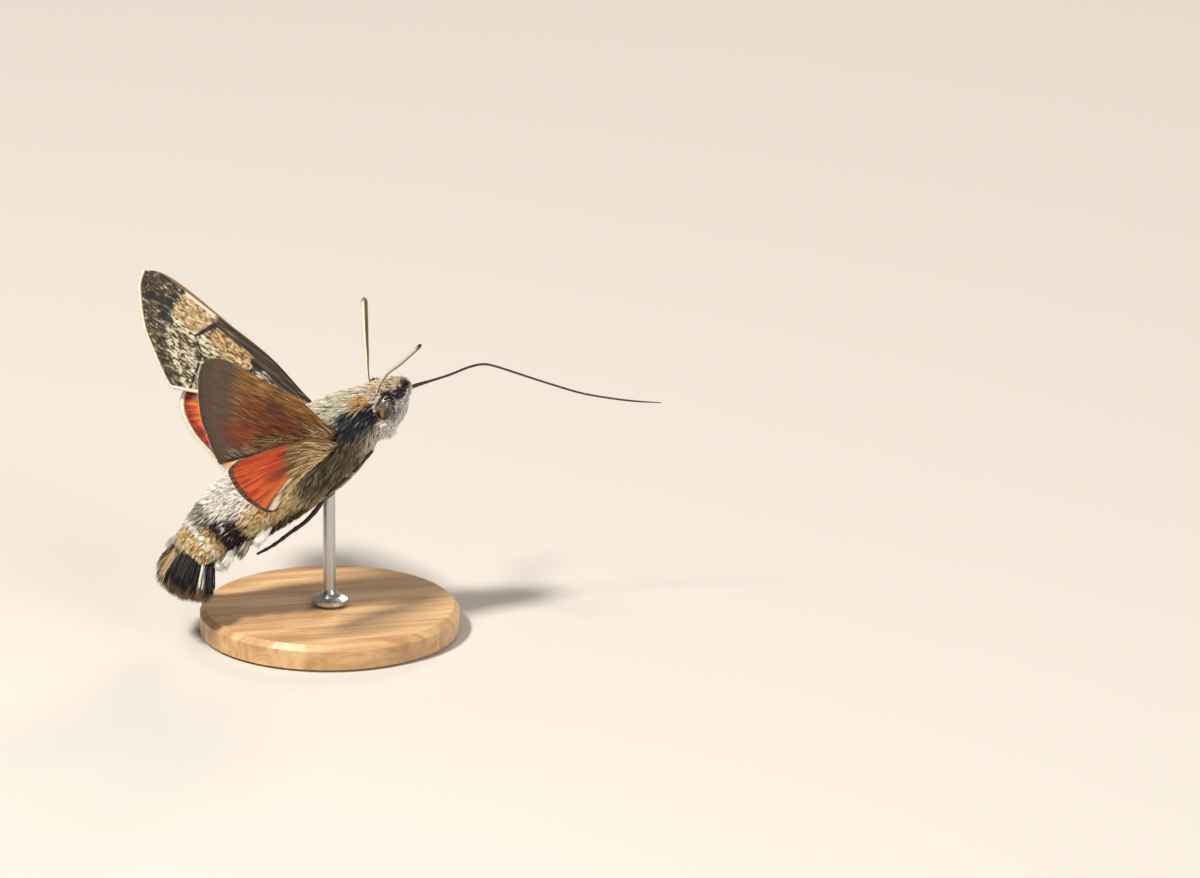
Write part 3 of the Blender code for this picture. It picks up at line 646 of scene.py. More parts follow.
class Value:
    """A number, colour or vector inside a material, for use in Python expressions."""

    def __init__(self, look, socket):
        self.look = look
        self.socket = socket

    def __add__(self, other):
        return self.look.math("ADD", self, other)

    def __sub__(self, other):
        return self.look.math("SUBTRACT", self, other)

    def __rsub__(self, other):
        return self.look.math("SUBTRACT", other, self)

    def __mul__(self, other):
        return self.look.math("MULTIPLY", self, other)

    def __truediv__(self, other):
        return self.look.math("DIVIDE", self, other)

    def __pow__(self, other):
        return self.look.math("POWER", self, other)

    __radd__ = __add__
    __rmul__ = __mul__


class Look:
    """One material, with its Principled shader and the nodes that feed it."""

    def __init__(self, name, **fixed):
        self.material = bpy.data.materials.new(name)
        self.material.use_nodes = True
        self.tree = self.material.node_tree
        self.shader = self.tree.nodes["Principled BSDF"]
        for socket, value in fixed.items():
            self.feed(self.shader.inputs[socket.replace("_", " ")], value)

    def feed(self, socket, value):
        """Link a value to a socket, or set it there."""
        if isinstance(value, Value):
            self.tree.links.new(value.socket, socket)
        elif socket.type == "RGBA" and len(value) == 3:
            socket.default_value = (*value, 1.0)
        else:
            socket.default_value = value

    def node(self, kind, settings, inputs, output=0):
        """A node of this type, its settings made first, then its sockets."""
        made = self.tree.nodes.new(kind)
        made.location = (-220 * (len(self.tree.nodes) // 8), 180 * (len(self.tree.nodes) % 8))
        for name, value in settings.items():
            if name == "stops":
                self.set_stops(made.color_ramp.elements, value)
            else:
                setattr(made, name, value)
        for name, value in inputs.items():
            self.feed(made.inputs[name], value)
        return Value(self, made.outputs[output])

    def set_stops(self, elements, stops):
        """Make a ramp's stops from places and colours."""
        for _ in range(len(stops) - len(elements)):
            elements.new(0.5)
        for element, (place, colour) in zip(elements, stops):
            element.position = place
            element.color = (*colour, 1.0)

    def ramp(self, value, *stops):
        """The colour between stops, each a place from 0 to 1 and a colour."""
        return self.node("ShaderNodeValToRGB", {"stops": stops}, {0: value})

    def spot(self, x, y, middle, half, ragged=0.0, soft=0.25):
        """1 inside an oval, and 0 outside it."""
        across = (x - middle[0]) / half[0]
        up = (y - middle[1]) / half[1]
        return self.step(across * across + up * up + ragged, 1 + soft, 1 - soft)

    def most(self, first, second):
        return self.math("MAXIMUM", first, second)

    def math(self, operation, first, second=0.0):
        return self.node("ShaderNodeMath", {"operation": operation}, {0: first, 1: second})

    def mix(self, share, first, second):
        """The first colour where share is 0, and the second where it is 1."""
        return self.node("ShaderNodeMix", {"data_type": "RGBA"}, {0: share, 6: first, 7: second}, 2)

    def step(self, value, low, high):
        """0 at low and 1 at high, with a soft change between."""
        ends = {"Value": value, "From Min": low, "From Max": high}
        return self.node("ShaderNodeMapRange", {"interpolation_type": "SMOOTHSTEP"}, ends)

    def band(self, value, first, last, soft):
        """1 between first and last, and 0 beyond them."""
        return self.step(value, first - soft, first + soft) * self.step(value, last + soft, last - soft)

    def map(self, name):
        """Both coordinates of a UV map."""
        place = self.node("ShaderNodeUVMap", {"uv_map": name}, {})
        return tuple(self.node("ShaderNodeSeparateXYZ", {}, {0: place}, axis) for axis in (0, 1))

    def space(self, x, y, z=0.0):
        return self.node("ShaderNodeCombineXYZ", {}, {0: x, 1: y, 2: z})

    def place(self):
        """The point's place on the object, in metres."""
        return self.node("ShaderNodeTexCoord", {}, {}, "Object")

    def noise(self, place, scale, detail=3.0, rough=0.55, warp=0.0):
        settings = {"Vector": place, "Scale": scale, "Detail": detail, "Roughness": rough, "Distortion": warp}
        return self.node("ShaderNodeTexNoise", {}, settings)

    def cells(self, place, scale, feature="F1"):
        return self.node("ShaderNodeTexVoronoi", {"feature": feature}, {"Vector": place, "Scale": scale})

    def bump(self, height, distance, strength=1.0):
        inputs = {"Strength": strength, "Distance": distance, "Height": height}
        return self.node("ShaderNodeBump", {}, inputs)

    def dress(self, **sockets):
        """Feed the shader and return the material."""
        for socket, value in sockets.items():
            self.feed(self.shader.inputs[socket.replace("_", " ")], value)
        return self.material


# Where the body's markings lie, in millimetres from the face along the body
NECK = 5.0
WAIST = 13.6


def head_colour(look, along, back, edge, grain, ragged):
    """Head: pale face, dark stripe down its front and over the eye, peach crown, and a painted white rim light
    at the top of its front.
    """
    c = colours()
    mix = look.mix
    band = look.band
    spot = look.spot
    step = look.step
    ramp = look.ramp
    pale = ramp(grain, (0.0, c.margin * 1.6), (0.2, c.white * 0.85), (0.5, c.white))
    dusky = spot(along, back, (3.0, 0.5), (0.7, 0.12), ragged)
    pale = mix(dusky * 0.45, pale, c.margin * 1.4)
    crown = ramp(
        grain, (0.0, c.umber), (0.14, c.brown), (0.3, c.crown * 0.9), (0.5, c.crown), (0.72, c.cream),
        (1.0, c.white)
    )
    head = mix(step(edge, 0.7, 0.75), pale, crown)
    slanted = look.math("ABSOLUTE", along + (back - 0.87) * 2.35 - 2.2 + ragged * 0.25)
    stripe = step(slanted, 0.5, 0.35) * band(back, 0.63, 0.97, 0.03)
    over_eye = spot(along, back, (3.3, 0.72), (1.1, 0.07), ragged * 0.7) * step(grain, 0.8, 0.6)
    plum = ramp(grain, (0.0, c.black), (0.5, c.plum), (0.8, c.plum * 3.0), (1.0, c.tan))
    head = mix(look.most(stripe, over_eye), head, plum)
    # Painted rim light: white at the top of the face's front edge.
    head = mix(step(along, 1.75, 1.5) * step(back, 0.92, 0.84), head, c.white)
    behind = band(along, 4.6, 5.1, 0.12) * band(back, 0.58, 0.78, 0.04)
    return mix(behind * step(grain, 0.15, 0.4), head, c.cream)


def thorax_colour(look, along, back, edge, grain, ragged, strands):
    """Thorax: pale green grey back, orange and slate patches, strands of black, brown and cream below, and a
    painted warm rim light low on the sides.
    """
    c = colours()
    mix = look.mix
    band = look.band
    step = look.step
    ramp = look.ramp
    fur = ramp(
        grain,
        (0.0, c.slate * 1.6),
        (0.14, c.sage * 0.5),
        (0.34, c.sage),
        (0.7, c.cream * 0.92),
        (1.0, c.white),
    )
    below = ramp(
        grain * 0.75 + strands * 0.9 + 0.07,
        (0.0, c.black),
        (0.26, c.umber),
        (0.4, c.sage * 0.26),
        (0.54, c.brown * 0.9),
        (0.66, c.sage * 0.5),
        (0.8, c.tan * 0.9),
        (0.9, c.cream),
        (1.0, c.cream),
    )
    thorax = mix(step(edge, 0.68, 0.74), below, fur)
    ruff = step(along, 6.1, 5.4) * step(edge, 0.74, 0.8)
    peach = ramp(grain, (0.0, c.tan), (0.3, c.crown), (0.6, c.cream), (1.0, c.white))
    thorax = mix(ruff, thorax, peach)
    slate = band(along + ragged * 2.0, 4.2, 8.0, 0.7) * band(edge - (along - 5.5) * 0.012, 0.5, 0.71, 0.04)
    dark = ramp(
        grain, (0.0, c.black), (0.4, c.slate), (0.66, c.slate * 2.5), (0.88, c.sage * 0.3), (1.0, c.sage * 0.8)
    )
    thorax = mix(slate, thorax, dark)
    patch = look.spot(along, back, (5.55, 0.76), (0.65, 0.07), ragged)
    thorax = mix(
        patch * 0.85, thorax, ramp(grain, (0.0, c.brown), (0.3, c.collar), (0.7, c.collar), (1.0, c.cream))
    )
    throat = step(along + ragged, 7.4, 5.8) * step(edge, 0.47, 0.38)
    thorax = mix(throat, thorax, ramp(grain, (0.0, c.brown), (0.25, c.cream * 0.7), (0.7, c.cream)))
    # Painted rim light: warm tan and cream on the hair low on the sides.
    rim = step(back, 0.34, 0.22) * step(grain, 0.2, 0.5)
    return mix(rim * 0.85, thorax, mix(grain, c.tan, c.cream))


def abdomen_colour(look, along, back, edge, grain, ragged):
    """Abdomen: pale front, black side patches with a thin white line, mottled band, white band, buff end."""
    c = colours()
    mix = look.mix
    ramp = look.ramp
    step = look.step
    pale = ramp(grain, (0.0, c.sage * 0.3), (0.1, c.cream * 0.9), (0.4, c.white), (1.0, c.white))
    front = mix(step(along, 13.8, 17.0), ramp(grain, (0.0, c.umber), (0.5, c.brown), (1.0, c.tan)), pale)
    gold = ramp(grain, (0.0, c.brown), (0.25, c.tan), (0.5, c.straw), (0.8, c.cream))
    front = mix(step(edge, 0.64, 0.52), front, gold)
    # Painted shade: black and umber below, on the belly.
    front = mix(step(edge, 0.36, 0.28), front, ramp(grain, (0.0, c.black), (0.6, c.umber), (1.0, c.tan)))
    black = ramp(grain, (0.0, c.black), (0.8, c.black * 2.0), (0.92, c.brown), (1.0, c.straw))
    patch = look.step(along + ragged * 0.7, 19.9, 20.5) * step(edge + (grain - 0.5) * 0.1, 0.68, 0.6)
    front = mix(patch, front, black)
    # Second dark segment: mottled on the back, black on the side, golden at its hind edge
    mottled = ramp(
        grain, (0.0, c.black), (0.3, c.sage * 0.4), (0.5, c.sage), (0.62, c.umber), (0.8, c.cream),
        (1.0, c.white)
    )
    second = mix(step(edge, 0.8, 0.7), mottled, black)
    golden = step(along + ragged * 0.6, 22.3, 22.8) * look.band(edge, 0.34, 0.74, 0.05)
    second = mix(golden, second, ramp(grain, (0.0, c.umber), (0.25, c.tan), (0.8, c.straw), (1.0, c.cream)))
    whole = mix(step(along + ragged * 0.2, 21.5, 21.65), front, second)
    line = look.band(along, 21.47, 21.66, 0.05) * look.band(back, 0.46, 0.96, 0.04)
    whole = mix(line * step(grain, 0.1, 0.25), whole, c.white)
    # The white band lies further back on the sides, and buff follows it
    slant = along + back * 0.5
    end = ramp(grain, (0.0, c.umber), (0.14, c.brown), (0.32, c.tan), (0.55, c.straw), (0.85, c.cream))
    # Painted shade: umber on the belly of the last segments.
    end = mix(step(edge, 0.4, 0.3), end, c.umber)
    whole = mix(step(slant + ragged * 0.2, 24.0, 24.15), whole, end)
    band = look.band(slant + ragged * 0.15, 23.62, 24.12, 0.07) * step(edge, 0.36, 0.46)
    whole = mix(band, whole, mix(step(grain, 0.0, 0.2), c.cream, c.white))
    return mix(step(along + ragged * 0.5, 25.2, 25.9), whole, ramp(grain, (0.0, c.black), (1.0, c.umber)))


def body_look(name, own_grain):
    """The skin's or the coat's material: the same markings, with the grain of each tuft on the coat."""
    look = Look(name, Roughness=0.72)
    turn, along = look.map("Root")
    along = along * BODY.length
    back = 1.0 - look.math("ABSOLUTE", turn * 2.0 - 1.0)
    if own_grain:
        grain, share = look.map("Lock")
    else:
        grain = look.noise(look.space(along * 1.2, turn * 60.0), 3.0, 2.0)
        share = 0.0
    streak = look.noise(look.space(along * 0.4, turn * 26.0), 2.0, 2.0) - 0.5
    ragged = (grain - 0.5) * 0.6 + streak * 1.4
    edge = back + streak * 0.14 + (grain - 0.5) * 0.03
    head = head_colour(look, along, back, edge, grain, ragged)
    thorax = thorax_colour(look, along, back, edge, grain, ragged, streak)
    abdomen = abdomen_colour(look, along, back, edge, grain, ragged)
    colour = look.mix(look.step(along + ragged * 0.3, NECK - 0.35, NECK), head, thorax)
    colour = look.mix(look.step(along + ragged, WAIST - 0.6, WAIST + 0.6), colour, abdomen)
    if own_grain:
        # Painted shade: each tuft darkens towards its root, deep in the coat.
        colour = look.mix(look.step(share, 0.5, 0.0) * 0.5, colour, (0, 0, 0))
        return look.dress(Base_Color=colour)
    # Painted shade: the skin under the coat is darkened, and finely bumped.
    fine = look.noise(look.place(), 9000.0, 2.0)
    return look.dress(Base_Color=look.mix(0.4, colour, (0, 0, 0)), Normal=look.bump(fine, 0.00003, 0.5))


def lock_look(name, *stops, tip=None, rough=0.65, root=0.45):
    """A material for locks of one kind: a colour for each lock out of these stops, with painted shade darkening
    it towards its root.
    """
    look = Look(name, Roughness=rough)
    grain, share = look.map("Lock")
    colour = look.ramp(grain, *stops)
    if tip is not None:
        colour = look.mix(look.step(share + grain * 0.3, 0.85, 1.15), colour, tip)
    # Painted shade at the root, as strong as root.
    colour = look.mix(look.step(share, 0.5, 0.0) * root, colour, (0, 0, 0))
    return look.dress(Base_Color=colour)


def tail_look():
    """The fan: mottled brown to the left as a painted sunlit side, tan in the middle, black to the right with a
    painted blue green sheen, and tips in painted backlight.
    """
    c = colours()
    look = Look("tail_fan_locks", Roughness=0.5)
    mix = look.mix
    band = look.band
    step = look.step
    ramp = look.ramp
    across, rise = look.map("Root")
    grain, share = look.map("Lock")
    fleck = look.noise(look.space(grain * 90.0, share * 9.0), 1.0, 2.0)
    black = mix(step(fleck, 0.62, 0.75) * 0.4, c.black, c.brown * 0.7)
    mottled = ramp(
        fleck + (grain - 0.5) * 0.35, (0.0, c.black), (0.42, c.umber), (0.5, c.brown), (0.56, c.tan),
        (0.64, c.cream)
    )
    tan = ramp(grain, (0.0, c.umber), (0.3, c.brown), (0.7, c.tan), (1.0, c.cream))
    # Painted light: the fan turns from black to mottled brown towards its left, its sunlit side.
    colour = mix(step(across + (rise - 0.5) * 0.35 + (grain - 0.5) * 0.2, 0.54, 0.64), black, mottled)
    middle = band(across, 0.47, 0.63, 0.05) * step(share, 0.85, 0.5) * step(rise, 0.5, 0.65)
    colour = mix(middle, colour, tan)
    # Painted sheen: a blue green reflection on the black, near the roots of the fan's top.
    painted_sheen = band(across, 0.38, 0.52, 0.05) * step(share, 0.5, 0.2) * step(rise, 0.55, 0.7)
    colour = mix(painted_sheen * step(grain, 0.2, 0.6), colour, paint(128, 168, 172))
    # Painted backlight: the tips of the locks turn tan.
    colour = mix(step(share + (grain - 0.5) * 0.3, 0.86, 1.0) * 0.8, colour, c.tan * 0.9)
    near = step(across, 0.045, 0.03) * band(rise, 0.3, 0.62, 0.05) * band(share, 0.3, 0.8, 0.1)
    near = near * step(grain, 0.3, 0.45)
    return look.dress(Base_Color=mix(near, colour, c.white))


def eye_look():
    """A dark glossy eye of fine facets: pale curved stripes above, a painted gold glint behind, a dark core."""
    c = colours()
    look = Look("eye_facets", Roughness=0.2, Coat_Weight=0.5, Coat_Roughness=0.1)
    front, up = look.map("Root")
    front = front - 0.2
    up = up + 0.35
    ring = look.math("SQRT", front * front * 1.2 + up * up)
    place = look.place()
    cloud = look.noise(place, 1500.0, 2.0)
    wave = look.math("SINE", ring * 36.0 + cloud * 9.0)
    stripes = look.step(wave, 0.1, 0.7) * look.step(ring, 0.42, 0.6) * look.step(up, -0.1, 0.35)
    colour = look.mix(look.step(ring, 0.35, 0.8), c.black * 0.5, c.umber * 0.35)
    colour = look.mix(stripes * 0.75, colour, c.cream * 0.35)
    # Painted glint: gold flecks on the eye's hind part.
    gold = look.step(front, -0.25, -0.6) * look.band(up, -0.35, 0.45, 0.12)
    colour = look.mix(gold * look.step(cloud, 0.45, 0.6) * 0.7, colour, c.amber)
    facets = look.cells(place, 14000.0)
    return look.dress(Base_Color=colour, Normal=look.bump(facets, 0.00001, 0.6))


def feeler_look():
    """Ribbed horn with white scales, and a dark ringed band along its outer side."""
    c = colours()
    look = Look("feeler_horn", Roughness=0.5)
    turn, along = look.map("Root")
    dark = look.band(look.math("SINE", turn * 2 * math.pi), -0.85, 0.2, 0.1)
    pale = look.mix(look.noise(look.place(), 9000.0, 2.0), c.tan, c.white)
    colour = look.mix(look.most(dark, look.step(along, 0.9, 0.98)), pale, c.black)
    rings = look.math("SINE", along * sizes().feeler_ribs * 2 * math.pi)
    colour = look.mix(look.step(rings, 0.5, 0.9) * dark * 0.4, colour, c.tan)
    colour = look.mix(look.step(rings, 0.0, -0.8) * 0.4, colour, c.umber)
    return look.dress(Base_Color=colour)


def horn_look(name, rough, scale):
    """Dark red brown horn, finely ringed."""
    c = colours()
    look = Look(name, Roughness=rough)
    grain = look.noise(look.place(), scale, 3.0)
    colour = look.mix(look.step(grain, 0.35, 0.7), c.black, c.horn * 1.3)
    return look.dress(Base_Color=colour, Normal=look.bump(grain, 0.00002, 0.6))


def wing_maps(look):
    """The wing's own coordinates: out, across from the lead, and 1 on the upper side."""
    out, over = look.map("Wing")
    upper = look.step(over, 1.4, 1.6)
    return out, over - upper * 2.0, upper


def fore_above(look, out, back, vein):
    """Fore wing from above, in millimetres out from the hinge and back from the lead's chord."""
    c = colours()
    mix = look.mix
    band = look.band
    spot = look.spot
    ramp = look.ramp
    step = look.step
    dash = look.noise(look.space(out * 1.7, back * 4.2), 1.0, 4.0, 0.72)
    cloud = look.noise(look.space(out * 0.8, back * 0.9), 1.0, 3.0)
    uneven = (cloud - 0.5) * 1.6
    # The scales stand in dashes of black and cream along the wing
    colour = mix(
        step(dash + (cloud - 0.5) * 0.3, 0.46, 0.56), c.umber * 0.7,
        mix(step(cloud, 0.3, 0.7), c.buff * 0.85, c.sage * 0.9)
    )
    gold = ramp(dash, (0.4, c.umber), (0.48, c.brown), (0.56, c.buff * 0.75), (0.72, c.straw * 0.85))
    inner = spot(out, back, (10.4, 0.7), (2.6, 1.3), uneven)
    colour = mix(inner, colour, gold)
    patch = spot(out, back, (15.0, 0.2), (2.1, 1.5), uneven * 0.5)
    colour = mix(
        patch, colour,
        ramp(dash, (0.36, c.umber), (0.45, c.brown), (0.54, c.buff * 0.75), (0.7, c.cream * 0.85))
    )
    grey = ramp(dash, (0.4, c.black), (0.5, c.margin * 0.8), (0.62, c.sage * 0.75))
    colour = mix(step(out, 7.2, 6.0), colour, grey)
    # The dark outer end, with olive flecks by the tip and a black blotch
    reach = out + look.math("MAXIMUM", back - 1.5, 0.0) ** 2 * 0.2 + uneven * 0.5
    outer = ramp(dash, (0.4, c.black), (0.5, c.umber), (0.57, c.margin * 0.8), (0.66, c.sage * 0.75))
    colour = mix(step(reach, 16.5, 17.0), colour, outer)
    for middle, half in (((17.7, 1.1), (0.9, 0.55)), ((19.0, 1.4), (0.75, 0.45)), ((16.7, 2.1), (0.7, 0.4))):
        colour = mix(spot(out, back, middle, half, uneven * 0.5) * 0.92, colour, c.black)
    # Cross lines: the outer one bends back past its middle
    past = look.math("MAXIMUM", back - 1.7, 0.0)
    ahead = look.math("MAXIMUM", 1.7 - back, 0.0)
    bent = out + ahead * 0.53 + look.math("MINIMUM", past, 1.0) * 1.25 + past * 0.2 + uneven * 0.25
    width = 0.1 + ahead * 0.06
    outer_line = step(look.math("ABSOLUTE", bent - 13.72) - width, 0.12, -0.02) * step(
        dash + ahead * 0.1, 0.38, 0.5
    )
    inner_line = step(look.math("ABSOLUTE", out - 7.7 + uneven * 0.4), 0.26, 0.08) * step(dash, 0.4, 0.5)
    mark = spot(out, back, (7.5, 0.25), (0.75, 0.45), uneven * 0.5)
    colour = mix(look.most(look.most(outer_line, inner_line), mark), colour, c.black)
    # Pale veins, dark leading edge with a thin painted gold rim light
    colour = mix(vein * step(back, 0.9, 1.6) * step(dash, 0.38, 0.55) * 0.5, colour, c.cream)
    lead = step(back - look.math("MAXIMUM", 8.6 - out, 0.0) * 0.22, -0.02, -0.2) * step(out, 13.4, 12.6)
    lead = look.most(lead, spot(out, back, (4.6, 0.2), (1.1, 0.35), uneven))
    lead = look.most(lead, spot(out, back, (2.3, 0.2), (1.0, 0.4), uneven))
    streaks = look.noise(look.space(out * 0.5, back * 9.0), 1.0, 2.0)
    dark = ramp(streaks, (0.35, c.black), (0.6, c.umber * 1.1), (0.75, c.brown))
    colour = mix(lead, colour, dark)
    # Painted rim light: a thin cream line along part of the leading edge.
    colour = mix(band(back, -1.02, -0.72, 0.06) * band(out, 13.3, 16.6, 0.2) * 0.8, colour, c.cream)
    colour = mix(step(back, -0.96, -1.04), colour, c.brown)
    return colour, dash


def fore_below(look, out, back, across, vein):
    """Fore wing from below: ochre lead, maroon middle, taupe outer band, grey hair along the hind edge; its own
    colours, darkened as painted shade.
    """
    c = colours()
    mix = look.mix
    spot = look.spot
    ramp = look.ramp
    step = look.step
    cloud = look.noise(look.space(out * 0.6, back * 1.1), 1.0, 3.0)
    streaks = look.noise(look.space(out * 0.45, back * 7.0), 1.0, 3.0, 0.6)
    uneven = (cloud - 0.5) * 1.8
    colour = ramp(streaks, (0.34, c.umber * 0.8), (0.46, c.amber * 0.5), (0.6, c.amber * 0.9), (0.78, c.straw))
    red = spot(out, back, (9.2, 1.8), (5.0, 1.7), uneven, 0.9)
    colour = mix(
        red * 0.9, colour, ramp(streaks, (0.35, c.maroon * 0.4), (0.5, c.maroon), (0.7, c.amber * 0.7))
    )
    dark = spot(out, back, (9.0, 0.6), (1.7, 0.5), uneven, 0.9)
    colour = mix(dark * 0.6, colour, c.maroon * 0.3)
    reach = out + look.math("MAXIMUM", back - 1.5, 0.0) ** 2 * 0.12 + uneven * 0.8 + back * 0.5
    taupe = ramp(streaks, (0.3, c.margin * 0.45), (0.55, c.margin * 0.75), (0.8, c.margin))
    colour = mix(step(reach, 14.2, 17.4), colour, taupe)
    low = spot(out, back, (12.4, 4.1), (2.6, 1.1), uneven, 0.9)
    colour = mix(low * 0.5, colour, c.rust * 0.6)
    hair = step(across + (streaks - 0.5) * 0.2, 0.8, 0.9) * look.band(out, 3.0, 12.8, 1.0)
    pale = ramp(streaks, (0.35, c.umber), (0.46, c.margin), (0.55, c.cream * 0.6), (0.75, c.cream))
    colour = mix(hair * 0.4, colour, pale)
    colour = mix(step(reach, 18.9, 19.8) * 0.5, colour, c.margin * 0.5)
    return mix(vein * 0.5, colour, c.umber * 0.8)


def fore_look():
    """Fore wing: black and cream scales above, amber, maroon and taupe below."""
    look = Look("forewing_scales_look", Roughness=0.68)
    _, across, upper = wing_maps(look)
    out, back = look.map("Plane")
    vein, _ = look.map("Vein")
    out = out * PLANE_SIZE
    back = back * PLANE_SIZE
    above, dash = fore_above(look, out, back, vein)
    colour = look.mix(upper, fore_below(look, out, back, across, vein), above)
    return look.dress(Base_Color=colour, Normal=look.bump(dash, 0.00003, 0.6))


def hind_look():
    """Hind wing: vivid orange with a dark red border above, and orange, red and yellow streaks below."""
    c = colours()
    look = Look("hindwing_scales_look", Roughness=0.62)
    mix = look.mix
    band = look.band
    ramp = look.ramp
    step = look.step
    out, across, upper = wing_maps(look)
    vein, _ = look.map("Vein")
    streaks = look.noise(look.space(out * 3.0, across * 34.0), 1.0, 3.0, 0.6)
    cloud = look.noise(look.space(out * 5.0, across * 6.0), 1.0, 3.0)
    uneven = cloud - 0.5
    above = ramp(streaks, (0.34, c.rust * 0.8), (0.5, c.orange * 0.8), (0.7, c.orange))
    above = mix(step(across + uneven * 0.1, 0.24, 0.12) * 0.6, above, c.straw)
    border = step(out + uneven * 0.16, 0.86, 0.93)
    above = mix(border, above, mix(step(streaks, 0.4, 0.6), c.maroon * 0.6, c.rust))
    above = mix(step(out + uneven * 0.2, 0.35, 0.15), above, mix(streaks, c.umber, c.brown))
    above = mix(step(across, 0.84, 0.95) * 0.8, above, c.straw)
    patch = ramp(streaks, (0.34, c.rust * 0.7), (0.46, c.rust * 1.3), (0.58, c.orange * 0.8), (0.75, c.orange))
    patch = mix(step(across + uneven * 0.3, 0.35, 0.05) * 0.5, patch, c.rust * 1.2)
    below = mix(look.spot(out, across, (0.52, 0.46), (0.22, 0.12), uneven, 0.9) * 0.7, patch, c.maroon * 0.9)
    below = mix(step(out + uneven * 0.08, 0.93, 0.985), below, c.maroon * 0.45)
    lean = across - (out - 0.55) * 0.3
    streak = band(lean, 0.6, 0.69, 0.03)
    below = mix(streak, below, mix(streaks, c.orange, c.amber))
    gap = band(lean, 0.69, 0.76, 0.02) * step(out, 0.4, 0.6)
    below = mix(gap, below, c.margin * 0.7)
    yellow = band(across - (out - 0.55) * 0.4, 0.7, 0.86, 0.03)
    below = mix(yellow, below, mix(step(streaks, 0.3, 0.6), c.straw, c.cream))
    golden = step(across - (out - 0.55) * 0.5, 0.84, 0.9)
    below = mix(golden, below, ramp(streaks, (0.3, c.umber), (0.5, c.brown), (0.7, c.tan)))
    inner = ramp(streaks, (0.3, c.umber), (0.45, c.brown), (0.58, c.amber), (0.75, c.tan))
    below = mix(step(out + uneven * 0.2, 0.58, 0.44), below, inner)
    colour = mix(upper, below, above)
    colour = mix(vein * 0.25, colour, c.rust * 0.5)
    return look.dress(Base_Color=colour, Normal=look.bump(streaks, 0.00003, 0.6))


def wood_look():
    """Pale turned wood with long grain."""
    look = Look("turned_wood", Coat_Weight=0.25, Coat_Roughness=0.25)
    place = look.place()
    stretched = look.node("ShaderNodeMapping", {}, {"Vector": place, "Scale": (60.0, 700.0, 300.0)})
    rings = look.noise(stretched, 1.0, 5.0, 0.6, 0.6)
    pores = look.noise(stretched, 9.0, 2.0)
    colour = look.mix(look.step(rings, 0.35, 0.68), paint(176, 132, 86), paint(214, 176, 128))
    colour = look.mix(look.step(pores, 0.62, 0.8) * 0.5, colour, paint(120, 82, 50))
    rough = 0.42 + pores * 0.15
    return look.dress(Base_Color=colour, Roughness=rough, Normal=look.bump(pores, 0.00003, 0.4))


def steel_look():
    """Turned steel, with fine rings round the rod."""
    look = Look("turned_steel", Metallic=1.0)
    place = look.place()
    rings = look.noise(
        look.node("ShaderNodeMapping", {}, {"Vector": place, "Scale": (200.0, 200.0, 9000.0)}), 1.0
    )
    colour = look.mix(rings, (0.42, 0.42, 0.43), (0.66, 0.66, 0.67))
    return look.dress(Base_Color=colour, Roughness=0.24 + rings * 0.2, Normal=look.bump(rings, 0.00001, 0.3))


def floor_look():
    """A plain pale floor."""
    look = Look("pale_floor", Roughness=0.8)
    cloud = look.noise(look.place(), 3.0, 2.0)
    return look.dress(Base_Color=look.mix(cloud, paint(202, 197, 191), paint(208, 204, 198)))


# The body


BODY = Body()
SECTIONS = Course(TRUNK, places=2)  # along the trunk only


def coat_depth(along):
    """How far the skin lies inside the coat's outline."""
    return np.interp(
        along, (0.0, 1.5, 4.0, 6.5, 12.0, 16.0, 22.0, 25.0), (0.1, 0.22, 0.3, 0.45, 0.5, 0.35, 0.3, 0.3)
    )


def coat_lie(along, turn):
    """The coat's lie: the angle from straight back, towards the belly on the sides of the thorax."""
    back = 1 - np.abs(2 * (turn % 1) - 1)
    left = np.where(turn % 1 < 0.5, 1.0, -1.0)
    drop = np.interp(back, (0.12, 0.38, 0.6, 0.8), (0.0, -20.0, -16.0, 0.0))
    drop = drop * np.interp(along, (4.0, 7.0, 13.0, 15.0), (0.3, 1.0, 1.0, 0.1))
    wave = np.interp(along, (4.0, 7.0, 14.0, 17.0), (6.0, 15.0, 15.0, 4.0)) * ripple(along, turn, 1.0, 0.4)
    return np.radians(drop * left + wave)


class MOTH_OT_skin(bpy.types.Operator):
    """Build the one skin of head, thorax, abdomen and tail core"""

    bl_idname = "moth.skin"
    bl_label = "Skin"

    def execute(self, context):
        rows = 170
        turns = 96
        along, turn = np.meshgrid(
            np.linspace(0.02, BODY.length - 0.02, rows), np.arange(turns) / turns, indexing="ij"
        )
        rings = BODY.point(along, turn, -coat_depth(along))
        ends = np.stack([rings[0].mean(0), rings[-1].mean(0)])
        faces = loft_faces(rows, turns)
        points = np.vstack([rings.reshape(-1, 3), ends])
        places = []
        for face in faces:
            columns = [index % turns for index in face]
            wraps = max(columns) - min(columns) > 1
            for index, column in zip(face, columns):
                if index >= rows * turns:
                    ring = 0 if index == rows * turns else rows - 1
                    places.append((columns[0] / turns, ring / (rows - 1)))
                else:
                    u = 1.0 if wraps and column == 0 and len(face) == 4 else column / turns
                    places.append((u, index // turns / (rows - 1)))
        places = np.array(places)
        maps = {"OFBake": places, "Root": places}
        skin = piece("skin", points, faces, body_look("skin_under_coat", False), (), maps)
        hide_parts("head", "thorax", "abdomen", "tail_fan")
        return {"FINISHED"}


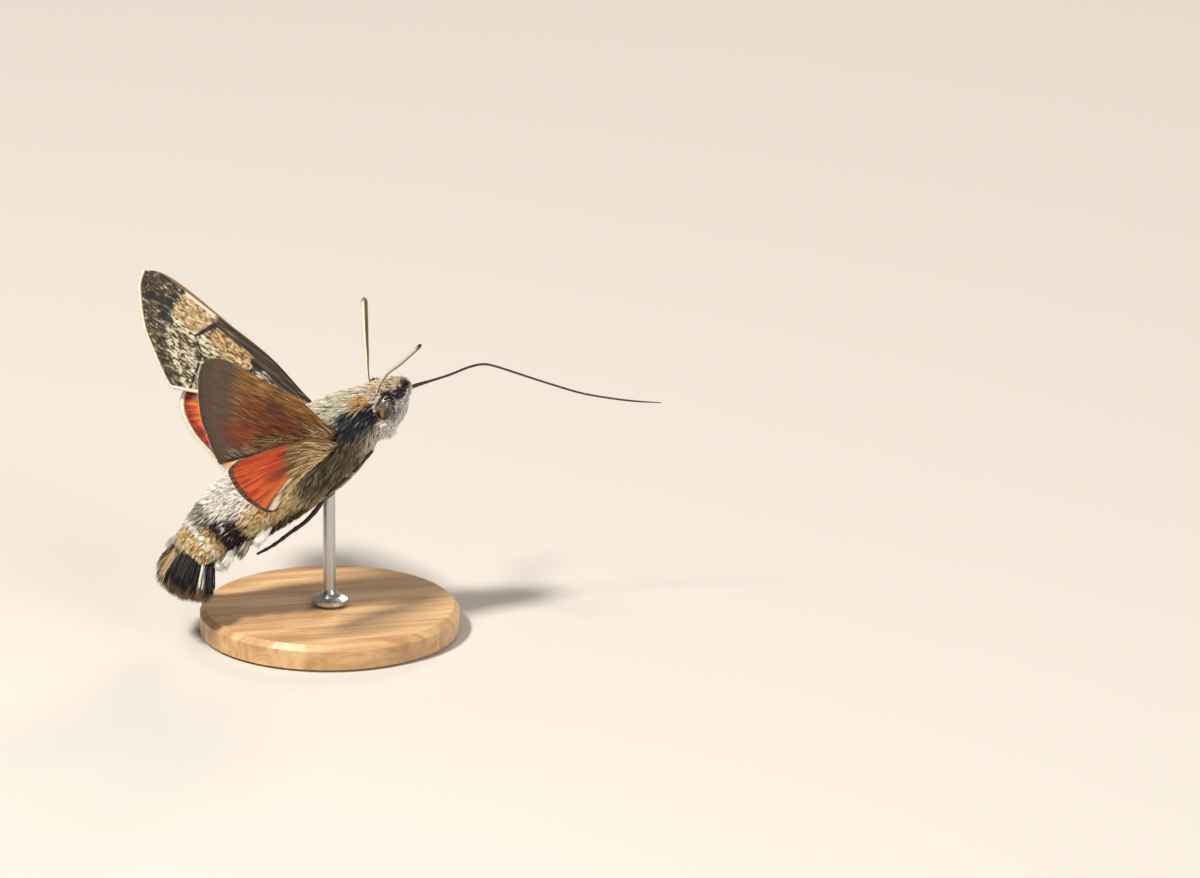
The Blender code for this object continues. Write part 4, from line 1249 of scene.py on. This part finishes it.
class MOTH_OT_coat(bpy.types.Operator):
    """Cover head, thorax and abdomen with tufts gathered in strands along the body"""

    bl_idname = "moth.coat"
    bl_label = "Body coat"

    def execute(self, context):
        s = sizes()
        draw = np.random.default_rng(SEED)
        look = body_look("coat_tufts", True)
        # The eyes' outlines, drawn out sideways, so that no hair crosses them
        eyes = [Egg(EYE_PLACE, (EYE_SIZE[0], EYE_GUARD, EYE_SIZE[2]), EYE_LEAN, side) for _, side in SIDES]
        stretches = (
            ("head_coat", 0.15, 5.0, s.head_strands, s.head_hair, 6, 0.07),
            ("thorax_coat_front", 5.0, 9.6, s.trunk_strands, s.trunk_hair, 8, 0.09),
            ("thorax_coat_rear", 9.6, WAIST, s.trunk_strands, s.trunk_hair, 8, 0.09),
            ("abdomen_coat_front", WAIST, 19.2, s.scale_strands, s.scale_hair, 7, 0.1),
            ("abdomen_coat_rear", 19.2, BODY.length - 0.8, s.scale_strands, s.scale_hair, 7, 0.1),
        )
        for name, first, last, spacing, width, hairs, spread in stretches:
            starts = scatter(BODY, first, last, spacing / MM, draw)
            along, turn = starts.T
            back = 1 - np.abs(2 * turn - 1)
            reach = np.interp(
                along, (0.0, 2.0, 4.5, 6.0, 13.0, 16.0, 24.0), (0.25, 0.5, 0.75, 1.3, 1.4, 1.0, 0.95)
            )
            shaggy = np.interp(along, (4.5, 6.5, 13.0, 16.0), (0, 1, 1, 0)) * np.interp(
                back, (0.66, 0.78), (1, 0)
            )
            reach = reach * (1 + shaggy) * draw.uniform(0.75, 1.2, len(along))
            wander = draw.normal(0, 1, len(along)) * np.radians(4 + 7 * shaggy)

            def lie(at, round_it):
                return coat_lie(at, round_it) + wander

            path = strand_paths(BODY, starts, reach, lie)
            tip = draw.uniform(-0.1, 0.07, len(along)) * np.interp(along, (1.0, 5.0), (0.5, 1.0))
            segment = (along - WAIST) / SEGMENT % 1
            tip = np.where(along > WAIST, tip + 0.12 * segment - 0.04, tip)
            lines, up, roots, strand = strand_hairs(
                BODY, path, hairs, spread, lambda at: -coat_depth(at) - 0.05, tip, draw
            )
            tones = draw.uniform(0, 1, len(along))[strand]
            grain = np.clip(tones * 0.6 + draw.uniform(0, 1, len(strand)) * 0.4, 0.005, 0.995)
            kept = roots[:, 0] > FIRST_ROOT
            if first < 6:
                lines, clear = clear_of(lines, eyes)
                kept &= clear
            places = np.stack([roots[:, 1] % 1, roots[:, 0] / BODY.length], -1)
            widths = width / MM * draw.uniform(0.7, 1.25, len(strand))
            tufts(
                name, lines[kept], up[kept], widths[kept], width / MM * 0.4, places[kept], grain[kept], look,
            )
        return {"FINISHED"}


class MOTH_OT_tail(bpy.types.Operator):
    """Build the tail fan and the tufts along the flanks in fine locks"""

    bl_idname = "moth.tail"
    bl_label = "Tail and side tufts"

    def execute(self, context):
        self.fan()
        self.flanks()
        return {"FINISHED"}

    def fan(self):
        draw = np.random.default_rng(SEED + 1)
        root, back, up = tail_frame()
        count = TAIL_TUFTS
        lock_side = draw.uniform(-1, 1, TAIL_LOCKS)
        lock_rise = draw.uniform(-1, 1, TAIL_LOCKS)
        lock_tone = draw.uniform(0, 1, TAIL_LOCKS)
        lock = draw.integers(0, TAIL_LOCKS, count)
        q = np.clip(lock_side[lock] + draw.normal(0, 0.03, count), -1.04, 1.04)
        rise = np.clip(lock_rise[lock] + draw.normal(0, 0.06, count), -1.1, 1.1)
        inset = np.sqrt(np.clip(1 - (0.85 * q) ** 2, 0, 1))
        start_back = draw.uniform(-0.9, 1.6, count)
        side = np.array((0.0, 1.0, 0.0))
        spread = TAIL_ROOT_SPREAD + (TAIL_SPREAD - TAIL_ROOT_SPREAD) * start_back / TAIL_LENGTH
        start = root + np.outer(start_back, back) + np.outer(spread * q, side)
        start = start + np.outer(1.25 * rise * inset, up)
        reach = TAIL_LENGTH * (1 - 0.3 * q * q) * (1 - 0.1 * np.abs(rise)) * draw.uniform(0.85, 1.02, count)
        end = root + np.outer(reach, back) + np.outer(TAIL_SPREAD * q, side)
        end = end + np.outer(2.0 * rise * (0.55 + 0.45 * inset), up)
        lines = []
        for share in TUFT_SHARES:
            bow = 0.25 * rise * share * (1 - share) * 4
            lines.append(start + (end - start) * share + np.outer(bow, up))
        grain = np.clip(lock_tone[lock] * 0.6 + draw.uniform(0, 1, count) * 0.4, 0, 1)
        places = np.stack([0.5 + 0.48 * q / 1.04, 0.5 + 0.45 * rise / 1.1], -1)
        ups = np.broadcast_to(up, (count, 3)) + np.outer(0.5 * q, side)
        tufts(
            "tail_fan_locks", np.stack(lines, 1), ups, draw.uniform(0.09, 0.16, count), 0.045, places, grain,
            tail_look(),
        )

    def flanks(self):
        c = colours()
        draw = np.random.default_rng(SEED + 2)
        ends = []
        for _, side in SIDES:
            for (distance, reach), white in zip(TUFTS, WHITE_TUFTS):
                start = section_point(SECTIONS.at(distance), math.radians(TUFT_ANGLE), -0.45) * (1, side, 1)
                end = section_point(SECTIONS.at(distance + reach), math.radians(TUFT_ANGLE), 0.85) * (
                    1, side, 1
                )
                ends.append((start, end, white))
        distance, angle, height = LEFT_TUFT_START
        ends.append(
            (section_point(SECTIONS.at(distance), math.radians(angle), height), np.array(LEFT_TUFT_TIP), 1.0)
        )
        lines = []
        ups = []
        grain = []
        hairs = FLANK_HAIRS
        for start, end, white in ends:
            middle = start * (1, 0, 1)
            outward = unit(start - middle)
            ahead = unit(end - start)
            across = unit(np.cross(ahead, outward))
            aside = draw.uniform(-1, 1, hairs)
            over = draw.uniform(-1, 1, hairs)
            root = start + np.outer(aside * 0.24, across) + np.outer(over * 0.16, outward)
            root = root + np.outer(draw.uniform(-0.5, 0.5, hairs), ahead)
            reach = np.linalg.norm(end - start) * draw.uniform(0.5, 1.08, hairs)
            tip = start + np.outer(reach, ahead) + np.outer(aside * 0.4 + draw.normal(0, 0.08, hairs), across)
            tip = tip + np.outer(over * 0.2, outward)
            lines.append(np.stack([root + (tip - root) * share for share in TUFT_SHARES], 1))
            ups.append(np.broadcast_to(outward, (hairs, 3)))
            grain.append(draw.uniform(0.45, 1, hairs) * white + draw.uniform(0, 0.25, hairs) * (1 - white))
        lines = np.concatenate(lines)
        grain = np.clip(np.concatenate(grain), 0, 1)
        look = lock_look(
            "flank_tufts_look", (0.0, c.black), (0.25, c.umber), (0.4, c.cream * 0.8), (0.5, c.white),
            (1.0, c.white), root=0.15
        )
        count = len(lines)
        number = np.arange(count)
        places = np.stack([number % hairs / hairs, number / count], -1) * 0.9 + 0.05
        tufts(
            "flank_tufts", lines, np.concatenate(ups), draw.uniform(0.07, 0.1, count), 0.035, places, grain,
            look,
        )


# The head


class MOTH_OT_face(bpy.types.Operator):
    """Build the eyes, the short hair round them, the furred palps and the spikes of the throat"""

    bl_idname = "moth.face"
    bl_label = "Eyes and palps"

    def execute(self, context):
        c = colours()
        draw = np.random.default_rng(SEED + 3)
        eye = eye_look()
        fur = lock_look("palp_fur", (0.0, c.margin * 1.5), (0.3, c.white * 0.75), (1.0, c.white))
        for word, side in SIDES:
            egg = Egg(EYE_PLACE, EYE_SIZE, EYE_LEAN, side)
            self.ball(f"eye_dome_{word}", egg, 0.0, eye, "eye_cornea", f"eye_{word}")
            palp = Egg(PALP_PLACE, PALP_SIZE, PALP_LEAN, side)
            self.ball(f"palp_core_{word}", palp, -0.1, fur, "palp_coat", f"palp_{word}")
            roots = scatter(palp, 0.1, palp.length * 0.96, 0.075, draw)
            count = len(roots)
            reach = draw.uniform(0.35, 0.6, count)
            path = strand_paths(palp, roots, -reach, lambda at, round_it: draw.normal(0, 0.1, len(at)))
            lines, up, roots, _ = strand_hairs(
                palp, path, 2, 0.03, lambda at: np.full(len(at), -0.14), draw.uniform(0.0, 0.08, count), draw
            )
            places = np.stack([roots[:, 1] % 1, roots[:, 0] / palp.length], -1)
            count = len(lines)
            grain = draw.uniform(0, 1, count)
            tufts(
                f"palp_fur_{word}", lines, up, draw.uniform(0.05, 0.08, count), 0.025, places, grain, fur,
            )
            self.eye_rim(f"eye_rim_{word}", egg, side, draw)
            self.spikes(f"throat_spikes_{word}", side, draw)
        return {"FINISHED"}

    def ball(self, name, egg, grow, look, slot, node):
        rows = 40
        turns = 48
        along, turn = np.meshgrid(
            egg.length * np.arange(1, rows) / rows, np.arange(turns) / turns, indexing="ij"
        )
        rings = egg.point(along, turn, np.full(along.shape, grow))
        ends = np.stack([rings[0].mean(0), rings[-1].mean(0)])
        points = np.vstack([rings.reshape(-1, 3), ends])
        own = (points - egg.place) @ egg.axes.T / egg.size
        maps = {"Root": own[:, (0, 2)], "Lock": np.abs(own[:, (0, 2)])}
        piece(name, points, loft_faces(rows - 1, turns), look, (node,), maps)

    def eye_rim(self, name, egg, side, draw):
        """Short hair round an eye: cream behind and below it, dark above."""
        c = colours()
        count = RIM_HAIRS
        turn = draw.uniform(0, 2 * np.pi, count)
        grow = draw.uniform(0.97, 1.12, count)
        round_it = np.stack([np.cos(turn) * grow, np.full(count, side * 0.1), np.sin(turn) * grow], -1)
        start = round_it * (EYE_SIZE[0], 1, EYE_SIZE[2])
        reach = draw.uniform(0.28, 0.45, count)
        away = np.stack([np.cos(turn) * 0.7 - 0.5, np.full(count, side * 0.35), np.sin(turn) * 0.8], -1)
        place = egg.place + start @ egg.axes
        tip = place + (unit(away) @ egg.axes) * reach[:, None]
        lines = np.stack([place + (tip - place) * share for share in TUFT_SHARES], 1)
        lines, kept = clear_of(
            lines, [Egg(EYE_PLACE, (EYE_SIZE[0] * 0.96, EYE_GUARD, EYE_SIZE[2] * 0.96), EYE_LEAN, side)]
        )
        pale = np.cos(turn - math.radians(215)) > -0.1
        grain = np.where(pale, draw.uniform(0.55, 1, count), draw.uniform(0, 0.4, count))
        look = lock_look(
            name + "_look", (0.0, c.black), (0.35, c.plum), (0.6, c.tan), (0.8, c.cream), (1.0, c.white)
        )
        up = np.broadcast_to(np.array((0.0, side, 0.1)), (count, 3))
        places = np.stack([turn / 7, grow - 0.6], -1)
        tufts(name, lines[kept], up[kept], 0.05, 0.025, places[kept], grain[kept], look)

    def spikes(self, name, side, draw):
        """A fan of pale spikes with peach tips that hangs from the throat."""
        c = colours()
        count = SPIKES
        along = draw.uniform(0.9, 3.2, count)
        turn = draw.uniform(0.0, 0.12, count)
        start = BODY.point(along, turn if side > 0 else 1 - turn, np.full(count, -0.3))
        down = np.stack(
            [draw.uniform(-0.5, 0.3, count), side * draw.uniform(0.0, 0.5, count), np.full(count, -1.0)], -1
        )
        reach = draw.uniform(0.6, 1.15, count)
        tip = start + unit(down) * reach[:, None]
        lines = np.stack([start + (tip - start) * share for share in TUFT_SHARES], 1)
        look = lock_look(
            name + "_look", (0.0, c.umber), (0.1, c.cream * 0.8), (0.5, c.cream), (1.0, c.white), tip=c.collar
        )
        up = np.broadcast_to(np.array((0.5, side, 0.0)), (count, 3))
        places = np.stack([turn * 8 + 0.1, along / 5], -1)
        tufts(
            name, lines, up, draw.uniform(0.06, 0.1, count), 0.03, places, draw.uniform(0, 1, count), look,
        )


class MOTH_OT_feelers(bpy.types.Operator):
    """Build both feelers, ringed and clubbed"""

    bl_idname = "moth.feelers"
    bl_label = "Feelers"

    def execute(self, context):
        look = feeler_look()
        ribs = sizes().feeler_ribs
        steps = ribs * 4 + 1
        sides = 14
        share = np.linspace(0, 1, steps)
        swell = np.sin(np.pi / 2 * np.minimum(share / 0.74, 1)) ** 2.2
        fall = np.maximum(0, (share - 0.93) / 0.07) ** 2.5
        phase = share * ribs % 1
        for word, _ in SIDES:
            club = 0.24 if word == "left" else 0.08
            radius = 0.12 + club * swell
            radius = radius + (0.03 - radius) * fall
            radius = radius * (0.8 + 0.26 * np.sin(np.pi * phase) ** 0.6)
            course = Course(FEELERS[word]).share(share)
            points, faces = tube(course, radius, sides, 0.85)
            turn = np.tile(np.arange(sides) / sides, steps)
            places = np.stack([turn, np.repeat(share, sides)], -1)
            places = np.vstack([places, [(0, 0), (0, 1)]])
            piece(f"feeler_{word}", points, faces, look, (f"antenna_{word}",), {"Root": places})
        return {"FINISHED"}


class MOTH_OT_tongue(bpy.types.Operator):
    """Build the long tongue in one smooth length"""

    bl_idname = "moth.tongue"
    bl_label = "Tongue"

    def execute(self, context):
        steps = 260
        share = np.linspace(0, 1, steps)
        course = Course([(x, 0.0, z) for x, z in TONGUE]).share(share)
        radius = sizes().tongue / MM
        radii = np.interp(share, (0, 0.06, 0.14, 0.9, 1.0), (2.2, 1.9, 1.1, 0.85, 0.4)) * radius
        radii = radii * (1 + 0.03 * np.sin(share * steps * 1.3))
        points, faces = tube(course, radii, 14)
        look = horn_look("tongue_look", 0.3, 5000.0)
        piece("tongue", points, faces, look, ("proboscis_base", "proboscis_tip"))
        return {"FINISHED"}


# Wings

class MOTH_OT_wings(bpy.types.Operator):
    """Build both pairs of wings with their veins, fringes and the hair at their roots"""

    bl_idname = "moth.wings"
    bl_label = "Wings"

    def execute(self, context):
        c = colours()
        # Painted light: the fringe on each wing's upper face is pale as if sunlit, and on its under face taupe
        # or rusty as if in shade.
        pale = lock_look("sunlit_fringe_look", (0.0, c.straw), (0.4, c.cream), (1.0, c.white))
        taupe = lock_look("shaded_fringe_look", (0.0, c.umber), (0.6, c.margin), (1.0, c.margin * 1.3))
        rusty = lock_look("shaded_rusty_fringe_look", (0.0, c.maroon), (0.6, c.umber), (1.0, c.tan))
        gold = lock_look(
            "forewing_hair_look", (0.0, c.umber), (0.3, c.brown), (0.6, c.amber), (0.85, c.tan), (1.0, c.cream)
        )
        straw = lock_look(
            "hindwing_hair_look", (0.0, c.umber), (0.25, c.brown), (0.55, c.tan), (0.85, c.straw),
            (1.0, c.cream)
        )
        # Hair on a wing: face, count, lowest and highest share out and across, length, and turn across
        fore_hair = (
            (-1, 480, (-0.03, 0.13), (0.1, 0.95), 0.14, 0.0),
            (-1, 900, (0.1, 0.52), (0.76, 0.97), 0.17, 0.03),
            (1, 300, (-0.03, 0.08), (0.2, 0.95), 0.1, 0.0),
        )
        hind_hair = (
            (-1, 1100, (-0.02, 0.34), (0.04, 0.97), 0.24, 0.04),
            (-1, 600, (0.25, 0.6), (0.82, 0.98), 0.24, 0.02),
            (1, 500, (-0.02, 0.25), (0.1, 0.97), 0.18, 0.0),
        )
        fore = fore_look()
        hind = hind_look()
        for word, side in SIDES:
            for kind, wing, look, below, hair, hair_look in (
                ("fore", fore_wing(side), fore, taupe, fore_hair, gold),
                ("hind", hind_wing(word, side), hind, rusty, hind_hair, straw),
            ):
                slot = f"{kind}wing_scales"
                self.blade(f"{kind}wing_{word}_blade", wing, look, slot, f"{kind}wing_{word}")
                self.edge(f"{kind}wing_{word}_fringe", wing, pale, 1, slot)
                self.edge(f"{kind}wing_{word}_fringe_below", wing, below, -1, slot)
                self.hair(f"{kind}wing_{word}_hair", wing, hair, hair_look, slot)
        return {"FINISHED"}

    def blade(self, name, wing, look, slot, node):
        rows = 110
        columns = 140
        inset = sizes().fringe / MM
        reach = 1 - inset * 0.85 / wing.patch.lead.length
        width = 1 - inset * 0.85 / wing.patch.margin.length
        outs = np.sin(np.linspace(0, np.pi / 2, rows)) * reach
        overs = np.linspace(0, width, columns)
        out, across = np.meshgrid(outs, overs, indexing="ij")
        vein = np.zeros(out.shape)
        pleat = np.zeros(out.shape)
        for place in wing.veins:
            vein = np.maximum(vein, np.exp(-(((across - place) / 0.011) ** 2)))
        stops = (0.0, *wing.veins, 1.0)
        for first, last in zip(stops, stops[1:]):
            inside = (across >= first) & (across < last)
            pleat = np.where(inside, np.sin(np.pi * (across - first) / (last - first)) ** 2, pleat)
        half = sizes().membrane / MM / 2 + sizes().vein / MM * vein * (1 - out**6)
        half = half + 0.12 * np.exp(-((across / 0.018) ** 2)) * (1 - out**5)
        half = half * (1 - 0.55 * out**8)
        sag = -0.07 * pleat * np.sin(np.pi * np.clip(out, 0, 1) ** 0.8)
        upper = wing.point(out, across, sag + half)
        under = wing.point(out, across, sag - half)
        points = np.vstack([upper.reshape(-1, 3), under.reshape(-1, 3)])
        r, i = np.meshgrid(np.arange(rows - 1), np.arange(columns - 1), indexing="ij")
        a = (r * columns + i).ravel()
        top = np.stack([a, a + 1, a + columns + 1, a + columns], -1)
        total = rows * columns
        bottom = top[:, ::-1] + total
        rim = list(range(columns)) + [row * columns + columns - 1 for row in range(1, rows)]
        rim += [(rows - 1) * columns + k for k in range(columns - 2, -1, -1)]
        rim += [row * columns for row in range(rows - 2, 0, -1)]
        rim = np.array(rim)
        following = np.roll(rim, -1)
        edge = np.stack([following, rim, rim + total, following + total], -1)
        flat = np.stack([out, across], -1).reshape(-1, 2)
        own = np.vstack([flat + (0, 2), flat])
        baked = np.vstack([flat * (0.48, 0.96) + (0.51, 0.02), flat * (0.48, 0.96) + (0.01, 0.02)])
        from_hinge = points * (1, wing.side, 1) - FORE_HINGE
        plane = np.stack([from_hinge @ fore_plane()[0], from_hinge @ fore_plane()[1]], -1) / PLANE_SIZE
        lines = np.tile(np.stack([vein * (1 - out**6), pleat], -1).reshape(-1, 2), (2, 1))
        maps = {"OFBake": baked, "Wing": own, "Plane": plane, "Vein": lines}
        piece(name, points, np.vstack([top, bottom, edge]), look, (node,), maps)

    def edge(self, name, wing, look, face, slot):
        """Fine hair scales along the margin and the trailing edge, on one face."""
        draw = np.random.default_rng(SEED + 4)
        inset = sizes().fringe / MM
        lines = []
        for along_margin, count in ((True, 900), (False, 800)):
            t = (np.arange(count) + draw.uniform(-0.5, 0.5, count)) / count
            t = np.clip(t, 0.0, 1.0) if along_margin else np.clip(0.18 + 0.82 * t, 0, 1)
            start = 1 - inset * 1.25 / (wing.patch.lead.length if along_margin else wing.patch.margin.length)
            stop = 1 - inset * draw.uniform(0.0, 0.35, count) / wing.patch.margin.length
            height = face * draw.uniform(0.01, 0.07, count)
            shares = []
            for share in TUFT_SHARES:
                far = start + (stop - start) * share
                place = (far, t) if along_margin else (t, far)
                shares.append(wing.point(*place, height))
            lines.append(np.stack(shares, 1))
        lines = np.concatenate(lines)
        count = len(lines)
        up = np.broadcast_to(np.array((-0.55, -0.83 * wing.side, 0.115)) * face, (count, 3))
        places = np.stack([np.linspace(0.05, 0.95, count), np.tile((0.2, 0.4, 0.6, 0.8), count)[:count]], -1)
        tufts(
            name, lines, up, draw.uniform(0.06, 0.1, count), 0.025, places, draw.uniform(0, 1, count), look,
        )

    def hair(self, name, wing, stretches, look, slot):
        """Long soft hair that flows from the body over the wing."""
        draw = np.random.default_rng(SEED + 5)
        lines = []
        ups = []
        for face, count, out_ends, across_ends, reach, aside in stretches:
            strand = np.repeat(np.arange(count // 6), 6)
            strands = count // 6
            out = draw.uniform(*out_ends, strands)[strand] + draw.normal(0, 0.008, len(strand))
            across = draw.uniform(*across_ends, strands)[strand] + draw.normal(0, 0.014, len(strand))
            far = reach * draw.uniform(0.6, 1.15, strands)[strand] * draw.uniform(0.8, 1.1, len(strand))
            drift = aside + draw.normal(0, 0.03, strands)[strand]
            lift = draw.uniform(0.1, 0.26, strands)[strand]
            shares = []
            for share in TUFT_SHARES:
                height = face * (0.02 + lift * np.sin(np.pi * (0.15 + 0.75 * share)))
                place = np.clip(across + drift * share + 0.02 * np.sin(5 * share), 0.01, 0.985)
                shares.append(wing.point(np.clip(out + far * share, 0, 0.97), place, height))
            lines.append(np.stack(shares, 1))
            ups.append(
                unit(wing.point(out, across, face * np.full(len(out), 0.3)) - wing.point(out, across, 0.0 * out))
            )
        lines = np.concatenate(lines)
        count = len(lines)
        # A hair drawn to a point by the wing's edge is left out
        long_enough = np.linalg.norm(lines[:, 3] - lines[:, 0], axis=1) > 0.3
        places = np.stack([np.arange(count) % 97 / 100 + 0.01, np.arange(count) / count * 0.96 + 0.02], -1)
        grain = draw.uniform(0, 1, count)
        tufts(
            name, lines[long_enough], np.concatenate(ups)[long_enough],
            draw.uniform(0.05, 0.085, count)[long_enough],
            0.03, places[long_enough], grain[long_enough], look,
        )


class MOTH_OT_legs(bpy.types.Operator):
    """Build six jointed legs: four folded against the chest, two trailing"""

    bl_idname = "moth.legs"
    bl_label = "Legs"

    def execute(self, context):
        look = horn_look("leg_look", 0.5, 7000.0)

        def over(rows):
            rows = np.array(rows)
            return section_point(SECTIONS.at(rows[:, 0]), np.radians(rows[:, 1]), rows[:, 2])

        courses = {
            "fore": over(FORE_LEG),
            "mid": over(MID_LEG),
            "hind": np.vstack([over(HIND_HIP), HIND_TRAILING]),
        }
        for word, side in SIDES:
            for kind, rows in courses.items():
                steps = 90
                share = np.linspace(0, 1, steps)
                course = Course(rows * (1, side, 1)).share(share)
                radius = 0.22 - 0.11 * share**1.5
                joints = 0.035 * sum(
                    np.exp(-(((share - joint) / 0.02) ** 2)) for joint in (0.3, 0.55, 0.7, 0.8, 0.9)
                )
                points, faces = tube(course, radius + joints, 12)
                piece(f"{kind}_leg_{word}", points, faces, look, (f"leg_{kind}_{word}",))
        return {"FINISHED"}


class MOTH_OT_stand(bpy.types.Operator):
    """Give the stand's base and rod their finish"""

    bl_idname = "moth.stand"
    bl_label = "Stand"

    def execute(self, context):
        for node, look in (("stand_base", wood_look()), ("stand_rod", steel_look())):
            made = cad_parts[node]
            made.data.materials.clear()
            made.data.materials.append(look)
            made.data.shade_smooth()
            made.data.set_sharp_from_angle(angle=math.radians(30))
        return {"FINISHED"}


class MOTH_OT_stage(bpy.types.Operator):
    """Lay the floor and set the soft lights and the camera"""

    bl_idname = "moth.stage"
    bl_label = "Stage"

    def execute(self, context):
        scene = context.scene
        floor = bpy.data.meshes.new("floor")
        half = FLOOR_HALF
        corners = [(x * half, y * half, 0) for x, y in ((-1, -1), (1, -1), (1, 1), (-1, 1))]
        floor.from_pydata(corners, [], [(0, 1, 2, 3)])
        ground = bpy.data.objects.new("floor", floor)
        scene.collection.objects.link(ground)
        floor.materials.append(floor_look())
        world = bpy.data.worlds.new("studio")
        scene.world = world
        world.use_nodes = True
        sky = world.node_tree.nodes["Background"]
        sky.inputs["Color"].default_value = (*paint(236, 232, 226), 1.0)
        sky.inputs["Strength"].default_value = SKY
        middle = Vector(VIEW_MIDDLE) * MM
        for name, offset, size, power, colour in LAMPS:
            self.lamp(name, middle, offset, size, power, colour)
        scene.view_settings.view_transform = "Standard"
        lens = bpy.data.cameras.new("camera")
        lens.sensor_width = SENSOR
        lens.lens = SENSOR * VIEW_DISTANCE / VIEW_WIDTH
        lens.clip_start = 0.1
        lens.clip_end = 20.0
        camera = bpy.data.objects.new("camera", lens)
        turn = math.radians(VIEW_TURN)
        rise = math.radians(VIEW_RISE)
        back = Vector((math.sin(turn) * math.cos(rise), -math.cos(turn) * math.cos(rise), math.sin(rise)))
        camera.location = middle + back * VIEW_DISTANCE * MM
        camera.rotation_euler = (-back).to_track_quat("-Z", "Y").to_euler()
        scene.collection.objects.link(camera)
        scene.camera = camera
        return {"FINISHED"}

    def lamp(self, name, middle, offset, size, power, colour):
        """A soft square lamp that looks at the middle of the view."""
        light = bpy.data.lights.new(name, "AREA")
        light.size = size
        light.energy = power
        light.color = colour
        lamp = bpy.data.objects.new(name, light)
        lamp.location = middle + Vector(offset)
        lamp.rotation_euler = Vector(offset).to_track_quat("Z", "Y").to_euler()
        bpy.context.scene.collection.objects.link(lamp)


STEPS = (
    MOTH_OT_stage,
    MOTH_OT_skin,
    MOTH_OT_coat,
    MOTH_OT_tail,
    MOTH_OT_face,
    MOTH_OT_feelers,
    MOTH_OT_tongue,
    MOTH_OT_wings,
    MOTH_OT_legs,
    MOTH_OT_stand,
)


class MOTH_PT_panel(bpy.types.Panel):
    """The moth's sizes, colours and building steps"""

    bl_label = "Hawk Moth"
    bl_idname = "MOTH_PT_panel"
    bl_space_type = "VIEW_3D"
    bl_region_type = "UI"
    bl_category = "Moth"

    def draw(self, context):
        for group in (context.scene.moth_sizes, context.scene.moth_colours):
            for name in group.__annotations__:
                self.layout.prop(group, name)
        for step in STEPS:
            self.layout.operator(step.bl_idname)


CLASSES = (MothSizes, MothColours, *STEPS, MOTH_PT_panel)


def register():
    for made in CLASSES:
        bpy.utils.register_class(made)
    bpy.types.Scene.moth_sizes = PointerProperty(type=MothSizes)
    bpy.types.Scene.moth_colours = PointerProperty(type=MothColours)


def unregister():
    del bpy.types.Scene.moth_colours
    del bpy.types.Scene.moth_sizes
    for made in reversed(CLASSES):
        bpy.utils.unregister_class(made)


def main():
    register()
    for step in STEPS:
        group, name = step.bl_idname.split(".")
        getattr(getattr(bpy.ops, group), name)()


if __name__ == "__main__":
    main()
